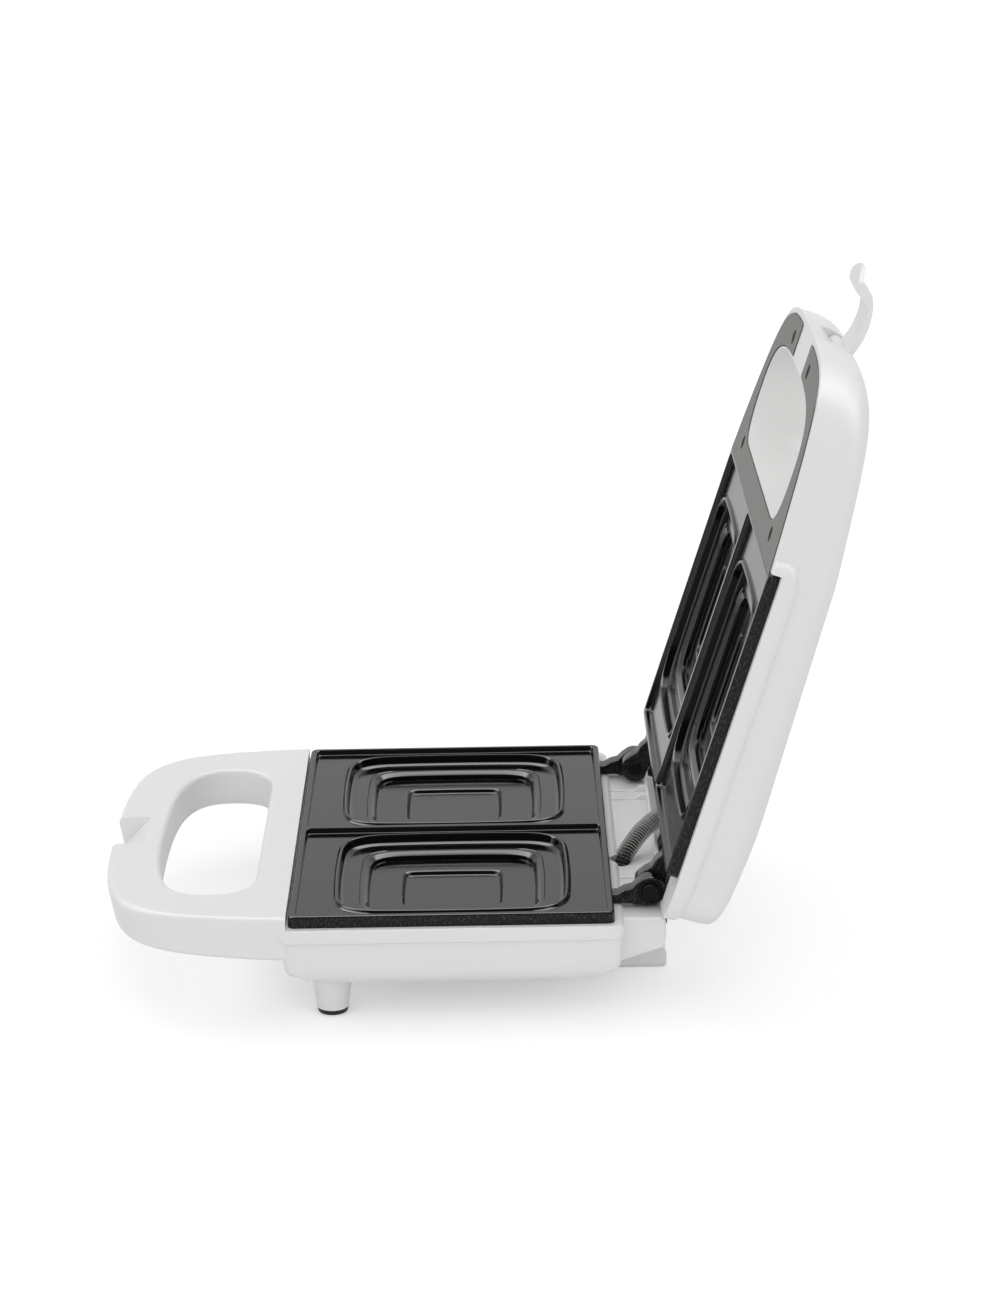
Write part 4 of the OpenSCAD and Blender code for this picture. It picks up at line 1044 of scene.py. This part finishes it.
for name, node, slot, x, deep, light in (
        ("red_lens_cap", "power_lens", "red_lens", -LAMP_X, "8e1210", "c8322c"),
        ("green_lens_cap", "ready_lens", "green_lens", LAMP_X, "1d6b2c", "46a655")):
    cap = drum(name, 4, 25.9, 32.2, x, LAMP_Y, 4, 48)
    edit(cap)
    pick("FACE", lambda f: f.normal.z > 0.9)
    for rise, size in ((0.5, 0.95), (0.4, 0.87), (0.25, 0.72), (0.12, 0.4)):
        extrude(0, 0, rise)
        stretch((size, size, 1), (x, LAMP_Y, 33))
    leave()
    flange = drum("flange", 5.4, 24.5, 26, x, LAMP_Y, 5.4, 48)
    round_off(flange, 0.3, 2, 60)
    add(cap, flange)
    cap.data.materials.append(tinted_clear(slot + "_polycarbonate", deep, light))
    finish(cap, LID_PLACE, 50)
    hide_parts(node)
    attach(cap, "lid")

# ---- Sprung conduit ----
# A close-wound spring of bright steel wire that guards the wires between the housings, with their
# glass-fibre sleeve inside it, coloured dark as painted shade inside the coil.

ROUTE = [(*CONDUIT, -22), (*CONDUIT, -16), (*CONDUIT, -11), (31, 143, -6), (26, 147.5, -0.5),
         (19, 153.5, 4), (11.5, 161, 6.6), (6, 169, 7.2), (2.5, 178, 5.8)]
WIRE_RADIUS, COIL_RADIUS, COIL_PITCH = 0.52, 3.62, 1.3


def route_line(name, points, thick=0.0):
    """A smooth open curve through points, in millimetres."""
    only_none()
    bpy.ops.curve.primitive_bezier_curve_add()
    line = bpy.context.object
    line.name = name
    line.data.resolution_u = 12
    line.data.splines.clear()
    spline = line.data.splines.new("BEZIER")
    spline.bezier_points.add(len(points) - 1)
    for point, spot in zip(spline.bezier_points, points):
        point.co = spot
        point.handle_left_type = point.handle_right_type = "AUTO"
    line.data.bevel_depth = thick
    line.data.bevel_resolution = 5
    line.data.use_fill_caps = thick > 0
    return line


# A ring wound along the X axis, closed at both ends and bent along the route
path = route_line("path", ROUTE)
length = path.data.splines[0].calc_length()
only_none()
bpy.ops.mesh.primitive_circle_add(vertices=8, radius=WIRE_RADIUS, location=(0, COIL_RADIUS, 0),
                                  rotation=ALONG_X)
coil = bpy.context.object
coil.name = "spring_conduit"
bpy.ops.object.transform_apply()
wind = coil.modifiers.new("wind", "SCREW")
wind.axis = "X"
wind.angle = math.tau
wind.screw_offset = COIL_PITCH
wind.iterations = int((length - 0.6) / COIL_PITCH)
wind.steps = wind.render_steps = 22
only(coil)
bpy.ops.object.modifier_apply(modifier="wind")
edit_all(coil)
bpy.ops.transform.rotate(value=math.pi / 2, orient_axis="X", center_override=(0, 0, 0))
bpy.ops.mesh.remove_doubles(threshold=0.01)
bpy.ops.mesh.select_all(action="DESELECT")
bpy.ops.mesh.select_mode(type="EDGE")
bpy.ops.mesh.select_non_manifold()
bpy.ops.mesh.edge_face_add()
leave()
bend = coil.modifiers.new("bend", "CURVE")
bend.object = path
bend.deform_axis = "POS_X"
only(coil)
bpy.ops.object.modifier_apply(modifier="bend")
bpy.data.objects.remove(path)
coil.data.materials.append(
    worn_metal("bright_spring_wire", ("d0d0ce", "e4e4e2"), 0.42, 0.1, 0.3))

sleeve = route_line("conduit_sleeve", ROUTE, 2.9)
only(sleeve)
bpy.ops.object.convert(target="MESH")
# The sleeve's dark colour is painted shade inside the coil
sleeving = grained("glass_sleeving_dark_as_painted_shade", ("1b1a19", "34322f"), (1500.0, 2.0),
                   (0.5, 0.0003), {"Roughness": 0.55})
sleeve.data.materials.append(sleeving)
for piece, slot in ((coil, "spring_steel"), (sleeve, "sleeved_wire")):
    finish(piece, BASE_PLACE, 60)
    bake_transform(piece)
    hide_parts("flex_conduit")
    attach(piece, "base")

# ---- Latch ----
# A white moulded clip that swings on a pin in the lid's handle: a barrel, a curved strip and
# a hooked end with a rounded finger tab. It snaps over the front of the lower handle.


def arc(middle, radius, low, high, count):
    """Points along an arc, given by how far forward they lie."""
    steps = [low + (high - low) * i / (count - 1) for i in range(count)]
    return [(f, middle[1] + math.sqrt(radius ** 2 - (f - middle[0]) ** 2)) for f in steps]


AXLE = (0, -77, 15)   # middle of the latch's pin
STRIP = (16, -26.7)
# Forward of the axle and above it: the strip's inner side, the hook, the outer side
side_view = [*arc(STRIP, 31.8, 1.5, 24.2, 14), (24.5, 3.5), (29, -3), (32, -3.4), (36, -3.2),
             (38.8, -2.2), (39, -0.9), (38.2, -0.5), (35.5, -1.1), (33.6, -0.7), (31.6, 1.4),
             *arc(STRIP, 34, 28.6, 0, 16)]
clip = drawing("latch_clip", [(AXLE[1] - f, AXLE[2] + u) for f, u in side_view], "YZ", -15)
pull(clip, (30, 0, 0))
REACH, TAB = 17.25, 21.75   # from the axle to the tab's middle, and the tab's radius
turn = [math.radians(d) for d in range(0, 181, 6)]
tab = drawing("tab", [(TAB * math.cos(a), AXLE[1] - (REACH + TAB * math.sin(a))) for a in turn]
              + [(-TAB, -60), (TAB, -60)], "XY", -5)
pull(tab, (0, 0, 40))
combine(clip, tab, "INTERSECT")
add(clip, rod("barrel", 3.6, 30, AXLE, ALONG_X, 40))
round_off(clip, 0.5, 3, 50)
cut(clip, rod("bore", 1.7, 60, AXLE, ALONG_X, 28))
clip.data.materials.append(LID_WHITE)
finish(clip, LID_PLACE, 40)
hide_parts("latch")
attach(clip, "latch")

# ---- Latch pin ----
# A short bright steel pin with rounded ends, which the latch swings on. It is pressed into the
# walls of the slot in the lid's handle.

pin = rod("latch_hinge_pin", 1.5, 35.4, AXLE, ALONG_X, 28)
bpy.ops.object.transform_apply()
round_off(pin, 0.4, 3, 60)
pin.data.materials.append(worn_metal("bright_pin_steel", ("a4a5a6", "c4c5c5"), 0.3, 0.15))
finish(pin, LID_PLACE, 30)
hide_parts("latch_pin")
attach(pin, "lid")

# ---- Parts inside the housings ----
# The elements, trays, wiring, fuse, thermostat and lamps keep their frame meshes, each in the
# finish of the real part.


def mottled(name, codes, rough, grain, bump, metal=0.0):
    """A matt or dull finish with a grain of a given size in millimetres."""
    return grained(name, codes, (1000.0 / grain, 3.0), (bump, 0.0003),
                   {"Roughness": rough, "Metallic": metal})


# Steel tube blued by heat, and bright aluminised sheet
HEATER = mottled("heat_blued_steel_tube", ("4b4a48", "6a6660"), 0.5, 3, 0.2, 0.9)
TRAY = mottled("aluminised_sheet", ("b9bab9", "d0d1d0"), 0.35, 2, 0.2, 1.0)
# Glazed white ceramic, the fuse's tinned can, and wires in woven glass sleeving
CERAMIC = mottled("steatite_ceramic", ("e6e0d2", "f2eee4"), 0.4, 4, 0.1)
CAN = mottled("tinned_fuse_can", ("a8a294", "c4bfb3"), 0.38, 2, 0.1, 0.8)
WIRE = mottled("glass_fibre_sleeving", ("d9d2c0", "ece7da"), 0.75, 0.9, 0.6)
# Brown phenolic with its plated strap, clear lamp glass, and the natural nylon of the holder
PHENOLIC = mottled("brown_phenolic", ("4a3424", "5e4632"), 0.45, 1.5, 0.2)
LAMP = mottled("neon_lamp_glass", ("d98a55", "f0b07c"), 0.12, 5, 0.0)
NYLON = mottled("natural_nylon", ("dcdad2", "e9e7e0"), 0.5, 3, 0.15)
for node, finish_of in (
        ("lower_heater", HEATER), ("upper_heater", HEATER), ("lower_reflector", TRAY),
        ("upper_reflector", TRAY), ("terminal_block", CERAMIC), ("thermal_fuse", CAN),
        ("base_wires", WIRE), ("lid_wires", WIRE), ("thermostat", PHENOLIC),
        ("thermostat_screws", ZINC), ("indicator_lamps", LAMP), ("lamp_holder", NYLON),
        ("lamp_holder_screws", ZINC)):
    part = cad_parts[node]
    for place in part.material_slots:
        place.material = finish_of
